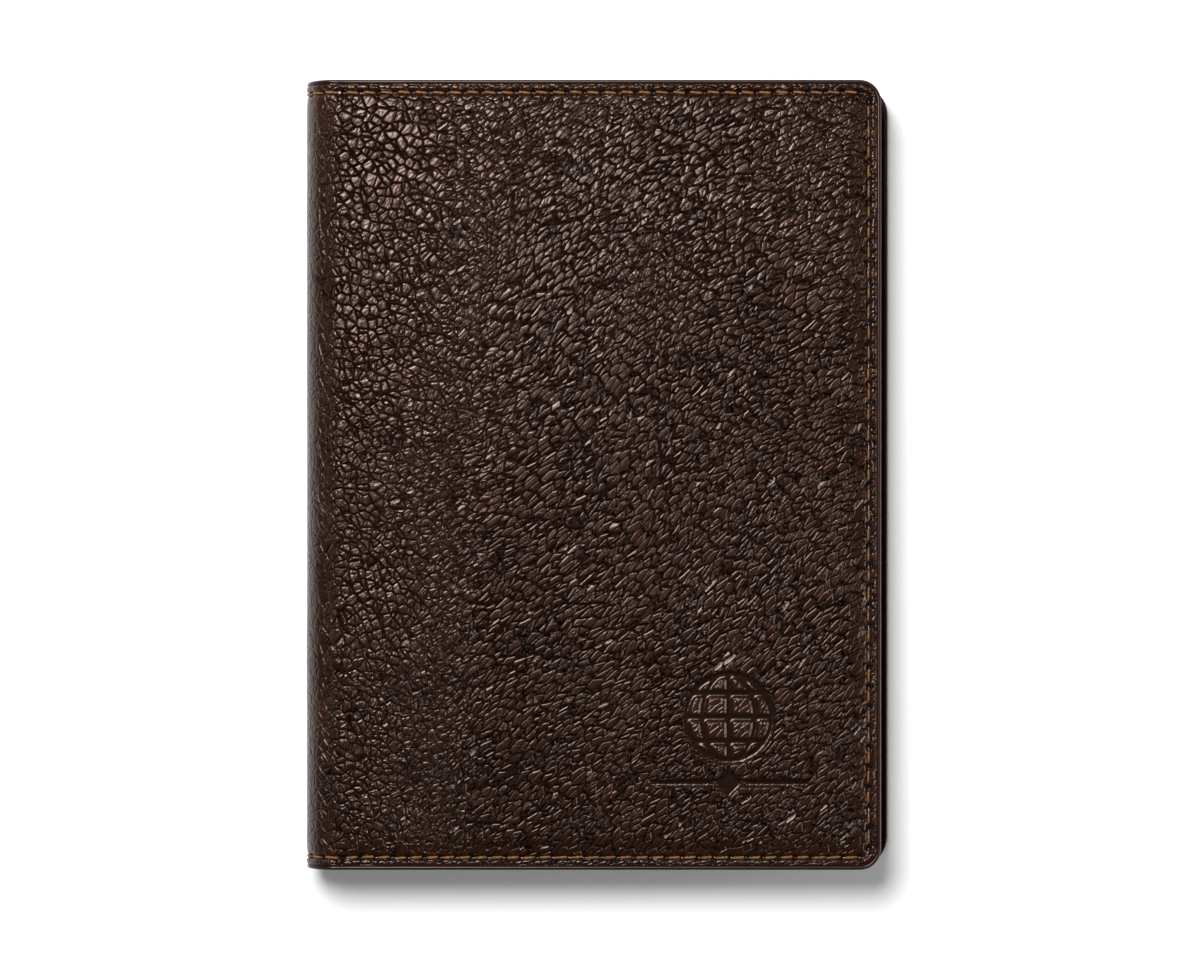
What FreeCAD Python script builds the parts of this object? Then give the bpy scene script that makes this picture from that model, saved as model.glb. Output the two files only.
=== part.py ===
import FreeCAD, Part
import math
import os

import Sketcher

# A bifold passport holder, closed, lying on its back cover.
# +Z is up, +Y is the head of the holder, the spine is at -X and the opening edge at +X.
# The origin is under the middle of the holder, on the surface that it lies on.
#
# Both covers are built in a frame of their own: x runs from the line where the cover meets
# the spine to the opening edge, and z runs from the cover's outer face inwards. The back
# cover uses that frame as it is, and the front cover is turned over on top of it.

DRIVING_DIMENSIONS = [
    ("overall_width", 104.0, "back of the spine to the back cover's edge"),
    ("overall_height", 140.0, "head to tail"),
    ("overall_thick", 13.0, "outer face to outer face"),
    ("front_step", 1.8, "how much narrower the front cover is"),
    ("field_corner", 2.4, "radius of the padded field's corners"),
    ("field_round", 0.45, "rounding of the padded field's upper edge"),
    ("front_corner", 3.8, "radius of the front cover's two corners"),
    ("back_corner", 5.3, "radius of the back cover's two corners"),
    ("leather", 1.0, "outer leather"),
    ("foam", 0.6, "padding under the leather"),
    ("board", 0.5, "stiffener board"),
    ("lining", 0.3, "lining"),
    ("bead", 0.8, "width of the painted edge"),
    ("bead_round", 0.35, "rounding of the painted edge"),
    ("seam", 3.6, "edge of the leather to the start of the padded field"),
    ("pad_wall", 0.8, "leather beside the foam, at the padded field's edge"),
    ("pad_clearance", 0.2, "room round the foam"),
    ("spine_gap", 0.5, "room between the spine's leather and each cover"),
    ("sleeve_leather", 0.8, "leather of the passport sleeve"),
    ("sleeve_space", 0.5, "room in the sleeve for the passport's cover"),
    ("pocket_leather", 0.6, "leather of the slip pocket"),
    ("pocket_space", 0.3, "room in the slip pocket"),
    ("mouth_inset", 9.0, "spine line to the mouth of the passport sleeve"),
    ("slot_inset", 3.0, "spine line to the slip pocket's mouth and the card slots"),
    ("thumb_radius", 11.0, "radius of the thumb notch in the sleeve's mouth"),
    ("thumb_depth", 6.0, "depth of the thumb notch"),
    ("slot_leather", 0.45, "leather of one card slot"),
    ("slot_mouth", 22.0, "mouth of the first card slot above the holder's middle"),
    ("slot_step", 13.0, "each mouth below the one before"),
    ("slot_count", 3.0, "card slots"),
    ("stitch_inset", 2.25, "outer edge to the middle of a row of stitches"),
    ("stitch_pitch", 3.1, "one stitch to the next"),
    ("stitch_length", 2.0, "length of the thread that shows"),
    ("stitch_width", 0.5, "width of the thread"),
    ("stitch_proud", 0.35, "height of a stitch on the outer face"),
    ("stitch_inner", 0.2, "height of a stitch on the inner face"),
    ("stitch_sink", 0.1, "how far the spine's stitches lie below its surface"),
]

DERIVED_DIMENSIONS = [
    ("spine_radius", "=overall_thick / 2"),
    ("half_height", "=overall_height / 2"),
    ("back_width", "=overall_width - spine_radius"),
    ("front_width", "=back_width - front_step"),
    ("rim", "=foam + leather"),
    ("cover_stack", "=rim + board + lining"),
    ("sleeve_top", "=cover_stack + sleeve_space + sleeve_leather"),
    ("pocket_top", "=cover_stack + pocket_space + pocket_leather"),
    ("front_stack", "=pocket_top + slot_count * slot_leather"),
    ("lined_radius", "=spine_radius - leather"),
    ("inner_radius", "=lined_radius - lining"),
    ("row_reach", "=half_height - stitch_inset"),
]

HALF_TURN = 180
TINY = 1e-5

doc = FreeCAD.newDocument("passport_holder")


def make_sheet():
    """The spreadsheet of driving and derived dimensions."""
    sheet = doc.addObject("Spreadsheet::Sheet", "dims")
    rows = [(name, str(value), note) for name, value, note in DRIVING_DIMENSIONS]
    rows += [(name, formula, "") for name, formula in DERIVED_DIMENSIONS]
    for row, (name, content, note) in enumerate(rows, start=1):
        sheet.set(f"A{row}", name)
        sheet.set(f"B{row}", content)
        sheet.set(f"C{row}", note)
        sheet.setAlias(f"B{row}", name)
    doc.recompute()
    return sheet


dims = make_sheet()


def bound(formula):
    """A formula of plain aliases, such as rim + board, as the document reads it."""
    words = formula.replace("(", " ( ").replace(")", " ) ").split()
    aliases = {name for name, *_ in DRIVING_DIMENSIONS + DERIVED_DIMENSIONS}
    return " ".join(f"dims.{word}" if word in aliases else word for word in words)


def value(formula):
    """The number that a formula comes to now."""
    result = dims.evalExpression(bound(formula))
    return float(getattr(result, "Value", result))


def new_body(label):
    body = doc.addObject("PartDesign::Body", label)
    body.Label = label
    body.AllowCompound = True
    return body


def origin_part(body, role):
    return next(item for item in body.Origin.OriginFeatures if item.Role == role)


def move_to_spine_line(body):
    """Puts a body's x = 0 on the line where the covers meet the spine."""
    body.setExpression("Placement.Base.x", bound("spine_radius - overall_width / 2"))


def place_on_back(body):
    """The cover's frame at the back cover: z starts at the ground."""
    move_to_spine_line(body)


def place_on_front(body):
    """The same frame turned over: z runs down from the front cover's outer face."""
    turned = FreeCAD.Rotation(FreeCAD.Vector(1, 0, 0), HALF_TURN)
    body.Placement = FreeCAD.Placement(FreeCAD.Vector(), turned)
    move_to_spine_line(body)
    body.setExpression("Placement.Base.z", bound("overall_thick"))


def place_on_spine(body):
    """The spine's frame: its origin is the middle of the half round."""
    move_to_spine_line(body)
    body.setExpression("Placement.Base.z", bound("spine_radius"))


def new_sketch(body, name, level=None):
    """A sketch flat on the body's own frame, at a level of it."""
    sketch = body.newObject("Sketcher::SketchObject", name)
    sketch.AttachmentSupport = [(origin_part(body, "XY_Plane"), "")]
    sketch.MapMode = "FlatFace"
    if level is not None:
        sketch.setExpression("AttachmentOffset.Base.z", bound(level))
    return sketch


def drive(sketch, kind, geometry, formula):
    """A constraint whose size comes from the sheet."""
    index = sketch.addConstraint(Sketcher.Constraint(kind, *geometry, value(formula)))
    sketch.setExpression(f"Constraints[{index}]", bound(formula))


def add_rectangle(sketch, left, right, low, high):
    """A rectangle from left to right and low to high."""
    x0, x1, y0, y1 = (value(side) for side in (left, right, low, high))
    corners = [FreeCAD.Vector(x, y, 0) for x, y in ((x0, y0), (x1, y0), (x1, y1), (x0, y1))]
    first = sketch.GeometryCount
    for start, end in zip(corners, corners[1:] + corners[:1]):
        sketch.addGeometry(Part.LineSegment(start, end))
    for side in range(4):
        following = (side + 1) % 4
        sketch.addConstraint(Sketcher.Constraint("Coincident", first + side, 2, first + following, 1))
        direction = "Horizontal" if side % 2 == 0 else "Vertical"
        sketch.addConstraint(Sketcher.Constraint(direction, first + side))
    drive(sketch, "DistanceX", (-1, 1, first, 1), left)
    drive(sketch, "DistanceX", (-1, 1, first, 2), right)
    drive(sketch, "DistanceY", (-1, 1, first, 1), low)
    drive(sketch, "DistanceY", (-1, 1, first + 2, 1), high)


def add_cover_outline(sketch, left, right, half, radius):
    """A cover's outline: straight along the spine, with two round corners at the other edge."""
    x0, x1, y1, r = (value(size) for size in (left, right, half, radius))
    diagonal = r * (1 - math.sqrt(0.5))
    points = [(x0, -y1), (x1 - r, -y1), (x1, r - y1), (x1, y1 - r), (x1 - r, y1), (x0, y1)]
    a, b, c, d, e, f = (FreeCAD.Vector(x, y, 0) for x, y in points)
    low_bend = FreeCAD.Vector(x1 - diagonal, diagonal - y1, 0)
    high_bend = FreeCAD.Vector(x1 - diagonal, y1 - diagonal, 0)
    tail, low_arc, edge, high_arc, head, spine = (
        sketch.addGeometry(curve)
        for curve in (
            Part.LineSegment(a, b),
            Part.Arc(b, low_bend, c),
            Part.LineSegment(c, d),
            Part.Arc(d, high_bend, e),
            Part.LineSegment(e, f),
            Part.LineSegment(f, a),
        )
    )
    for line, direction in ((tail, "Horizontal"), (edge, "Vertical"), (head, "Horizontal")):
        sketch.addConstraint(Sketcher.Constraint(direction, line))
    sketch.addConstraint(Sketcher.Constraint("Tangent", tail, 2, low_arc, 1))
    sketch.addConstraint(Sketcher.Constraint("Tangent", low_arc, 2, edge, 1))
    sketch.addConstraint(Sketcher.Constraint("Tangent", edge, 2, high_arc, 1))
    sketch.addConstraint(Sketcher.Constraint("Tangent", high_arc, 2, head, 1))
    sketch.addConstraint(Sketcher.Constraint("Coincident", head, 2, spine, 1))
    sketch.addConstraint(Sketcher.Constraint("Coincident", spine, 2, tail, 1))
    sketch.addConstraint(Sketcher.Constraint("Equal", low_arc, high_arc))
    sketch.addConstraint(Sketcher.Constraint("Symmetric", spine, 1, spine, 2, -1))
    drive(sketch, "Radius", (low_arc,), radius)
    drive(sketch, "DistanceX", (-1, 1, spine, 1), left)
    drive(sketch, "DistanceX", (-1, 1, edge, 1), right)
    drive(sketch, "DistanceY", (-1, 1, spine, 1), half)


def pad(body, sketch, thickness):
    feature = body.newObject("PartDesign::Pad", f"{sketch.Name}_pad")
    feature.Profile = sketch
    feature.setExpression("Length", bound(thickness))
    doc.recompute()
    return feature


def pocket(body, sketch, depth):
    """Cuts from the sketch's level inwards, along +z."""
    before = body.Shape.Volume
    feature = body.newObject("PartDesign::Pocket", f"{sketch.Name}_pocket")
    feature.Profile = sketch
    feature.Reversed = True
    feature.setExpression("Length", bound(depth))
    doc.recompute()
    assert body.Shape.Volume < before, f"{feature.Name} cuts nothing"
    return feature


def round_edges(body, radius, chosen):
    """A fillet on the edges of the body's last feature that chosen picks."""
    base = body.Tip
    names = [f"Edge{i}" for i, edge in enumerate(base.Shape.Edges, start=1) if chosen(edge)]
    feature = body.newObject("PartDesign::Fillet", f"{body.Name}_round")
    feature.Base = (base, names)
    feature.setExpression("Radius", bound(radius))
    doc.recompute()


def at_level(level):
    """Picks the edges that lie flat at a level of the cover's frame."""
    height = value(level)
    return lambda edge: max(abs(edge.BoundBox.ZMin - height), abs(edge.BoundBox.ZMax - height)) < TINY




class Cover:
    """The sizes of one cover and how its pieces are placed."""

    def __init__(self, name, place):
        self.name = name
        self.place = place

    def start(self, label):
        """A body of this cover, in the cover's frame."""
        body = new_body(f"{self.name}_{label}")
        self.place(body)
        return body

    def outline(self, body, name, level, inset="bead", left="0", corner=None):
        """The cover's outline, drawn in from its edges by inset."""
        sketch = new_sketch(body, f"{body.Name}_{name}", level=level)
        add_cover_outline(
            sketch,
            left,
            f"{self.name}_width - {inset}",
            f"half_height - {inset}",
            corner or f"{self.name}_corner - {inset}",
        )
        return sketch

    def plate(self, label, level, thickness, inset="bead", left="0", corner=None):
        """A flat piece with the cover's outline."""
        body = self.start(label)
        pad(body, self.outline(body, "outline", level, inset, left, corner), thickness)
        return body

    def make_leather(self):
        """Outer leather: a sewn rim, and a field raised over the foam."""
        body = self.start("leather")
        pad(body, self.outline(body, "rim", "foam"), "leather")
        field = self.outline(body, "field", "0", "seam", "leather", "field_corner")
        pad(body, field, "foam")
        wall = "( seam + pad_wall )"
        hollow = self.outline(body, "hollow", "leather", wall, "leather + pad_wall", "field_corner")
        pocket(body, hollow, "foam")
        round_edges(body, "field_round", at_level("0"))

    def make_core(self):
        """Foam, stiffener board and lining."""
        inset = "( seam + pad_wall + pad_clearance )"
        left = "leather + pad_wall + pad_clearance"
        self.plate("foam", "leather", "foam", inset, left, "field_corner")
        self.plate("board", "rim", "board")
        self.plate("lining", "rim + board", "lining")

    def make_edge_paint(self, stack):
        """The painted bead round the three free edges of everything sewn together."""
        body = self.start("edge_paint")
        pad(body, self.outline(body, "outside", "foam", "0", "spine_gap"), f"{stack} - foam")
        inside = self.outline(body, "inside", "foam", "bead", "0")
        pocket(body, inside, f"{stack} - foam")
        width = value(f"{self.name}_width")
        half = value("half_height")
        corner = value(f"{self.name}_corner")

        def outermost(edge):
            """The flat edges that run along the bead's outside."""
            middle = edge.valueAt((edge.FirstParameter + edge.LastParameter) / 2)
            from_corner = math.hypot(middle.x - width + corner, abs(middle.y) - half + corner)
            on_line = abs(middle.x - width) < TINY or abs(abs(middle.y) - half) < TINY
            flat = edge.BoundBox.ZLength < TINY
            along = edge.Length > value("bead") + TINY
            return flat and along and (on_line or abs(from_corner - corner) < TINY)

        round_edges(body, "bead_round", outermost)
        return body

    def stitch_rows(self, label, level, thickness):
        """Stitches along the head, the tail and the opening edge, in one straight row each."""
        body = self.start(label)
        half_length = "stitch_length / 2"
        edge_row = new_sketch(body, f"{body.Name}_edge_row", level=level)
        middle = f"{self.name}_width - stitch_inset"
        start = "stitch_pitch - row_reach"
        add_rectangle(
            edge_row,
            f"{middle} - stitch_width / 2",
            f"{middle} + stitch_width / 2",
            f"{start} - {half_length}",
            f"{start} + {half_length}",
        )
        first = pad(body, edge_row, thickness)
        repeat(body, first, "Y_Axis", "2 * row_reach - 2 * stitch_pitch")
        end_rows = new_sketch(body, f"{body.Name}_end_rows", level=level)
        for low in ("row_reach - stitch_width / 2", "stitch_width / 2 - row_reach - stitch_width"):
            add_rectangle(
                end_rows,
                f"stitch_pitch / 2 - {half_length}",
                f"stitch_pitch / 2 + {half_length}",
                low,
                f"{low} + stitch_width",
            )
        second = pad(body, end_rows, thickness)
        repeat(body, second, "X_Axis", f"{middle} - stitch_pitch * 1.5")
        return body


def repeat(body, feature, axis, length):
    """Repeats a feature evenly along an axis of its body, about one stitch pitch apart."""
    pattern = body.newObject("PartDesign::LinearPattern", f"{feature.Name}_row")
    pattern.Originals = [feature]
    pattern.Direction = (origin_part(body, axis), [""])
    pattern.Mode = "Extent"
    pattern.setExpression("Length", bound(length))
    pattern.setExpression("Occurrences", f"round(({bound(length)}) / dims.stitch_pitch) + 1")
    body.Tip = pattern
    doc.recompute()


def cut_thumb_notch(body):
    """A shallow round cut in the middle of the mouth, to push the passport's cover out."""
    sketch = new_sketch(body, f"{body.Name}_thumb", level="cover_stack")
    radius = value("thumb_radius")
    centre = value("mouth_inset + thumb_depth - thumb_radius")
    circle = sketch.addGeometry(Part.Circle(FreeCAD.Vector(centre, 0, 0), FreeCAD.Vector(0, 0, 1), radius))
    drive(sketch, "Radius", (circle,), "thumb_radius")
    drive(sketch, "DistanceX", (-1, 1, circle, 3), "mouth_inset + thumb_depth - thumb_radius")
    sketch.addConstraint(Sketcher.Constraint("PointOnObject", circle, 3, -1))
    pocket(body, sketch, "sleeve_space + sleeve_leather")


def make_pouch(cover, label, space, skin, mouth):
    """A leather sleeve sewn down on three sides, with its mouth at the spine."""
    body = cover.plate(label, "cover_stack", f"{space} + {skin}", left=mouth)
    room = cover.outline(body, "room", "cover_stack", "seam", f"{mouth} / 2", "field_corner")
    pocket(body, room, space)
    return body


def slot_mouth_line(number):
    """Where a card slot's mouth lies in the front cover's frame, which has +y at the tail."""
    return f"{number} * slot_step - slot_mouth"


def cut_above_mouth(body, number, left):
    """Takes away one card slot's layer between the head and the slot's mouth."""
    sketch = new_sketch(body, f"{body.Name}_above_{number}", level=f"pocket_top + {number} * slot_leather")
    add_rectangle(sketch, left, "overall_width", "0 - overall_height", slot_mouth_line(number))
    pocket(body, sketch, "slot_leather")


def cut_before_mouth(paint, mouth, thickness):
    """Takes away the painted edge's upper part where there is no pocket yet."""
    sketch = new_sketch(paint, f"{paint.Name}_before_mouth", level="cover_stack")
    add_rectangle(sketch, "0", mouth, "0 - overall_height", "overall_height")
    pocket(paint, sketch, thickness)


def make_card_slots(cover):
    """Card slots on the slip pocket, each one's mouth a step below the last."""
    for number in range(int(value("slot_count"))):
        level = f"pocket_top + {number} * slot_leather"
        body = cover.plate(f"slot_{number + 1}", level, "slot_leather", left="slot_inset")
        body.Label = f"card_slot_{number + 1}"
        cut_above_mouth(body, number, "slot_inset / 2")


def front_layers():
    """Each layer that ends short inside the front cover: where its mouth is, and how thick."""
    slots = range(int(value("slot_count")))
    return [("y", value(slot_mouth_line(number)), value("slot_leather")) for number in slots] + [
        ("x", value("slot_inset"), value("pocket_space + pocket_leather"))
    ]


def back_layers():
    return [("x", value("mouth_inset"), value("sleeve_space + sleeve_leather"))]


def make_inner_stitching(cover, layers):
    """The second thread's stitches, each lying on whatever layer is uppermost there."""
    long, wide, high, pitch = (
        value(f"stitch_{size}") for size in ("length", "width", "inner", "pitch")
    )
    row = value("row_reach")
    edge = value(f"{cover.name}_width - stitch_inset")
    places = [(edge, y, wide, long) for y in evenly(pitch - row, row - pitch, pitch)]
    for x in evenly(pitch / 2, edge - pitch, pitch):
        places += [(x, -row, long, wide), (x, row, long, wide)]
    bars = []
    for x, y, along_x, along_y in places:
        level = value("cover_stack")
        clear = True
        for axis, mouth, thickness in layers:
            at, along = (x, along_x) if axis == "x" else (y, along_y)
            clear = clear and abs(at - mouth) > along
            level += thickness if at > mouth else 0
        if clear:
            corner = FreeCAD.Vector(x - along_x / 2, y - along_y / 2, level)
            bars.append(Part.makeBox(along_x, along_y, high, corner))
    feature = doc.addObject("Part::Feature", f"{cover.name}_inner_stitching")
    feature.Shape = Part.makeCompound(bars)
    feature.Placement = doc.getObject(f"{cover.name}_leather").Placement


def evenly(start, end, pitch):
    """Places from start to end, evenly spaced about one pitch apart."""
    steps = max(1, round((end - start) / pitch))
    return [start + (end - start) * step / steps for step in range(steps + 1)]


def make_card_slot_stitching(cover):
    """The row down the spine side of the last card slot, through all the layers."""
    body = cover.start("card_row")
    body.Label = "card_slot_stitching"
    sketch = new_sketch(body, "card_row_first", level="front_stack")
    start = "slot_count * slot_step - slot_step - slot_mouth + stitch_pitch"
    middle = "slot_inset + stitch_inset / 2"
    add_rectangle(
        sketch,
        f"{middle} - stitch_width / 2",
        f"{middle} + stitch_width / 2",
        f"{start} - stitch_length / 2",
        f"{start} + stitch_length / 2",
    )
    first = pad(body, sketch, "stitch_inner")
    repeat(body, first, "Y_Axis", f"row_reach - stitch_pitch * 1.5 - ( {start} )")


def spine_sketch(body, name, outer, inner, low, high):
    """A section of the spine's wall, where the spine stands out furthest."""
    sketch = new_sketch(body, name)
    add_rectangle(sketch, f"0 - {outer}", f"0 - {inner}", low, high)
    return sketch


def turn_round_spine(body, sketches):
    """Turns wall sections about the spine's axis, evenly both ways, up to the gap at each cover."""
    for sketch in sketches:
        feature = body.newObject("PartDesign::Revolution", f"{sketch.Name}_turn")
        feature.Profile = sketch
        feature.ReferenceAxis = (sketch, ["V_Axis"])
        feature.Midplane = True
        feature.setExpression("Angle", "180 - 2 * asin(dims.spine_gap / dims.inner_radius) / 1 deg")
        doc.recompute()


def cut_stitch_groove(body, name, middle):
    """A groove in the outside of the spine, where a row of stitches lies below the surface."""
    sketch = new_sketch(body, f"{body.Name}_{name}")
    add_rectangle(
        sketch,
        "0 - spine_radius - stitch_proud",
        "stitch_proud + stitch_sink - spine_radius",
        f"{middle} - stitch_width",
        f"{middle} + stitch_width",
    )
    before = body.Shape.Volume
    feature = body.newObject("PartDesign::Groove", f"{sketch.Name}_cut")
    feature.Profile = sketch
    feature.ReferenceAxis = (sketch, ["V_Axis"])
    feature.Angle = 360
    doc.recompute()
    assert body.Shape.Volume < before, f"{feature.Name} cuts nothing"


def make_spine_shells():
    """Leather and lining bent round the spine, and the painted edges at its head and tail."""
    leather = new_body("spine_leather")
    place_on_spine(leather)
    inside = ("bead - half_height", "half_height - bead")
    wall = spine_sketch(leather, "spine_leather_wall", "spine_radius", "lined_radius", *inside)
    turn_round_spine(leather, [wall])
    cut_stitch_groove(leather, "head_groove", "row_reach")
    cut_stitch_groove(leather, "tail_groove", "0 - row_reach")

    lining = new_body("spine_lining")
    place_on_spine(lining)
    wall = spine_sketch(lining, "spine_lining_wall", "lined_radius", "inner_radius", *inside)
    turn_round_spine(lining, [wall])

    paint = new_body("spine_edge_paint")
    place_on_spine(paint)
    radii = ("spine_radius", "inner_radius")
    head = spine_sketch(paint, "spine_head", *radii, "half_height - bead", "half_height")
    tail = spine_sketch(paint, "spine_tail", *radii, "0 - half_height", "bead - half_height")
    turn_round_spine(paint, [head, tail])


def make_spine_stitching(label, radius, thickness):
    """Bars spaced evenly round the spine near its head and tail, their undersides at a radius."""
    high = value(thickness)
    long, wide, row = (value(name) for name in ("stitch_length", "stitch_width", "row_reach"))
    usable = math.pi - 2 * math.asin((value("spine_gap") + long / 2) / radius)
    steps = max(1, round(usable * value("spine_radius") / value("stitch_pitch")))
    bars = []
    for middle in (row, -row):
        for step in range(steps + 1):
            turn = math.degrees(usable * (step / steps - 0.5))
            bar = Part.makeBox(high, wide, long, FreeCAD.Vector(-radius - high, middle - wide / 2, -long / 2))
            bars.append(bar.rotate(FreeCAD.Vector(), FreeCAD.Vector(0, 1, 0), turn))
    feature = doc.addObject("Part::Feature", label)
    feature.Label = label
    feature.Shape = Part.makeCompound(bars)
    feature.Placement = doc.getObject("spine_leather").Placement
    return feature


def make_back_cover():
    cover = Cover("back", place_on_back)
    cover.make_leather()
    cover.make_core()
    sleeve = make_pouch(cover, "sleeve", "sleeve_space", "sleeve_leather", "mouth_inset")
    sleeve.Label = "passport_sleeve"
    cut_thumb_notch(sleeve)
    paint = cover.make_edge_paint("sleeve_top")
    cut_before_mouth(paint, "mouth_inset", "sleeve_top - cover_stack")
    cover.stitch_rows("outer_stitching", "foam - stitch_proud", "stitch_proud")
    make_inner_stitching(cover, back_layers())


def make_front_cover():
    cover = Cover("front", place_on_front)
    cover.make_leather()
    cover.make_core()
    slip = make_pouch(cover, "slip", "pocket_space", "pocket_leather", "slot_inset")
    slip.Label = "slip_pocket"
    make_card_slots(cover)
    paint = cover.make_edge_paint("front_stack")
    for number in range(int(value("slot_count"))):
        cut_above_mouth(paint, number, "0")
    cut_before_mouth(paint, "slot_inset", "front_stack - cover_stack")
    cover.stitch_rows("outer_stitching", "foam - stitch_proud", "stitch_proud")
    make_inner_stitching(cover, front_layers())
    make_card_slot_stitching(cover)


def make_spine():
    """The shells, the outer stitches in their grooves, and the inner ones, which touch the lining
    with their ends, as a straight bar does in a round hollow."""
    make_spine_shells()
    in_groove = value("spine_radius - stitch_sink - stitch_proud")
    make_spine_stitching("spine_outer_stitching", in_groove, "stitch_proud")
    chord = math.sqrt(value("inner_radius") ** 2 - value("stitch_length / 2") ** 2)
    make_spine_stitching("spine_inner_stitching", chord - value("stitch_inner"), "stitch_inner")


def check_document():
    """Every object has to be sound before anything is written."""
    for item in doc.Objects:
        wrong = {"Invalid", "Error"}.intersection(item.State)
        assert not wrong, f"{item.Label}: {item.State}"


def export_pieces():
    os.makedirs("parts", exist_ok=True)
    pieces = [item for item in doc.Objects if item.TypeId == "PartDesign::Body"]
    pieces += [item for item in doc.Objects if item.TypeId == "Part::Feature"]
    for piece in pieces:
        assert not piece.Shape.isNull() and piece.Shape.isValid(), f"{piece.Label} has no sound shape"
        assert piece.Shape.Solids, f"{piece.Label} has no solid"
    for piece in pieces:
        piece.Shape.exportStep(f"parts/{piece.Label}.step")
        print(f"{piece.Label}: {len(piece.Shape.Solids)} solids, {piece.Shape.Volume:.0f} mm3")


make_back_cover()
make_spine()
make_front_cover()
doc.recompute()
check_document()
export_pieces()
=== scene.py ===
# %% [markdown]
# # A passport holder in pebbled leather
# The real thing is one sheet of dark brown leather, folded round a spine, padded with thin
# foam over a stiff board, lined, sewn round its edge with tan thread and finished with a
# painted edge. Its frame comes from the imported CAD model: every place below is worked out
# from that model's boxes, so the pieces need no fitting.

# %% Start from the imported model
import math

import bpy
import numpy as np
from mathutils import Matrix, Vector
from mathutils.geometry import tessellate_polygon


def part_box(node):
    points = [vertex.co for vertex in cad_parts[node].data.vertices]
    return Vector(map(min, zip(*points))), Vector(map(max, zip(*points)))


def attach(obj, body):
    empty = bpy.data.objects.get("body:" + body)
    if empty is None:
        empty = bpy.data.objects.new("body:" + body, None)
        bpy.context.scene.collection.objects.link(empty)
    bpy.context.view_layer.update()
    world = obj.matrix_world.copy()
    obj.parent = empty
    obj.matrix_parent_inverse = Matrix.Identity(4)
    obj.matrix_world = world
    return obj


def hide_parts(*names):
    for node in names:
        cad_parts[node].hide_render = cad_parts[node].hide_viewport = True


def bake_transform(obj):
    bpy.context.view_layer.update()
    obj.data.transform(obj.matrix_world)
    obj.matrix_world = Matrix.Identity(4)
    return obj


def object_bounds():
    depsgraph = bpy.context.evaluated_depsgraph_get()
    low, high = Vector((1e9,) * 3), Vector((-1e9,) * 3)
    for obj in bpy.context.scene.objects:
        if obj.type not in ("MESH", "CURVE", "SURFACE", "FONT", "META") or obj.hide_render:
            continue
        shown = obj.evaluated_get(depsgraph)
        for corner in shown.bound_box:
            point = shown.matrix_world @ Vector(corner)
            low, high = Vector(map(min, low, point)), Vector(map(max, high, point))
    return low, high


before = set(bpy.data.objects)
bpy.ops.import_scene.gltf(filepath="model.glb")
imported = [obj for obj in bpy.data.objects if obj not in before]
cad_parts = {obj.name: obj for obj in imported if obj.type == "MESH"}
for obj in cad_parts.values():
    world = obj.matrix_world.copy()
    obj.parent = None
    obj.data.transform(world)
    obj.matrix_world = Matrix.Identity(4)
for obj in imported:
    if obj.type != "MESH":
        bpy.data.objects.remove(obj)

cad_box = [list(corner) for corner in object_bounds()]
MM = 0.001
print("nodes:", len(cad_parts), "box:", cad_box)

# %% [markdown]
# ## The places that everything is built from
# The leather wraps a slab of one thickness, so its round spine has half that thickness as
# its radius. Both covers meet the spine on one line. The front cover is a little narrower
# than the back one, so the back cover's edge shows beside it.

# %% Places read from the model
THICK = cad_box[1][2]
RADIUS = THICK / 2
SPINE_X = cad_box[0][0] + RADIUS
HALF_HEIGHT = cad_box[1][1]
FRONT_EDGE_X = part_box("front_edge_paint")[1].x
BACK_EDGE_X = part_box("back_edge_paint")[1].x
BEAD = HALF_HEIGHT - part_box("front_leather")[1].y
ARC = RADIUS * math.pi / 2
REACH = {"front": FRONT_EDGE_X - SPINE_X + ARC, "back": BACK_EDGE_X - SPINE_X + ARC}
CORNER = {"front": 3.8 * MM, "back": 5.3 * MM}
SIGN = {"front": 1, "back": -1}
STITCH_IN = HALF_HEIGHT - (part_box("front_outer_stitching")[1].y - 0.25 * MM)
print(f"spine line {SPINE_X:.4f}, arc {ARC:.4f}, bead {BEAD:.4f}, stitches {STITCH_IN:.5f} in")

# %% [markdown]
# ## Small tools for height fields
# Leather is easiest to think of as a flat sheet with a height at each place, which is then
# wrapped round the holder. These helpers make smooth steps, soft ridges and a slow, seeded
# unevenness, and they all work on whole arrays at once.


# %% Steps, ridges and slow noise
def step(x, low, high):
    """0 below low, 1 above high, smooth between."""
    t = np.clip((x - low) / (high - low), 0, 1)
    return t * t * (3 - 2 * t)


def ridge(x, middle, width):
    """A soft ridge, 1 high at middle."""
    return np.exp(-(((x - middle) / width) ** 2))


def waves(x, y, size, seed, count=9):
    """Slow unevenness from -1 to 1: a few plane waves of about one size, in seeded directions."""
    random = np.random.default_rng(seed)
    total = np.zeros(np.broadcast(x, y).shape)
    for angle, stretch, phase in random.random((count, 3)):
        wave = math.tau / (size * (0.7 + 0.8 * stretch))
        along = x * math.cos(angle * math.tau) + y * math.sin(angle * math.tau)
        total += np.sin(along * wave + phase * math.tau)
    return total / math.sqrt(count * 2)


print("halfway up a step:", step(0.5, 0, 1), "and on a ridge's middle:", ridge(0, 0, 1))

# %% [markdown]
# ## Wrapping the flat leather round the holder
# `u` runs across the sheet: 0 in the middle of the spine, positive over the front cover and
# negative over the back cover. `v` runs from tail to head. `lift` is the height above the
# plain slab. Working on the flat sheet keeps the grain running on round the spine, as it
# does when one hide is folded.


# %% Wrap and edge distance
def wrap(u, v, lift):
    """Points of the flat leather, wrapped round the holder."""
    turn = np.clip(u / RADIUS, -math.pi / 2, math.pi / 2)
    beyond = np.maximum(np.abs(u) - ARC, 0)
    x = SPINE_X + beyond - (RADIUS + lift) * np.cos(turn)
    z = RADIUS + (RADIUS + lift) * np.sin(turn)
    return np.stack([x, v + 0 * x, z], axis=-1)


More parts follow.
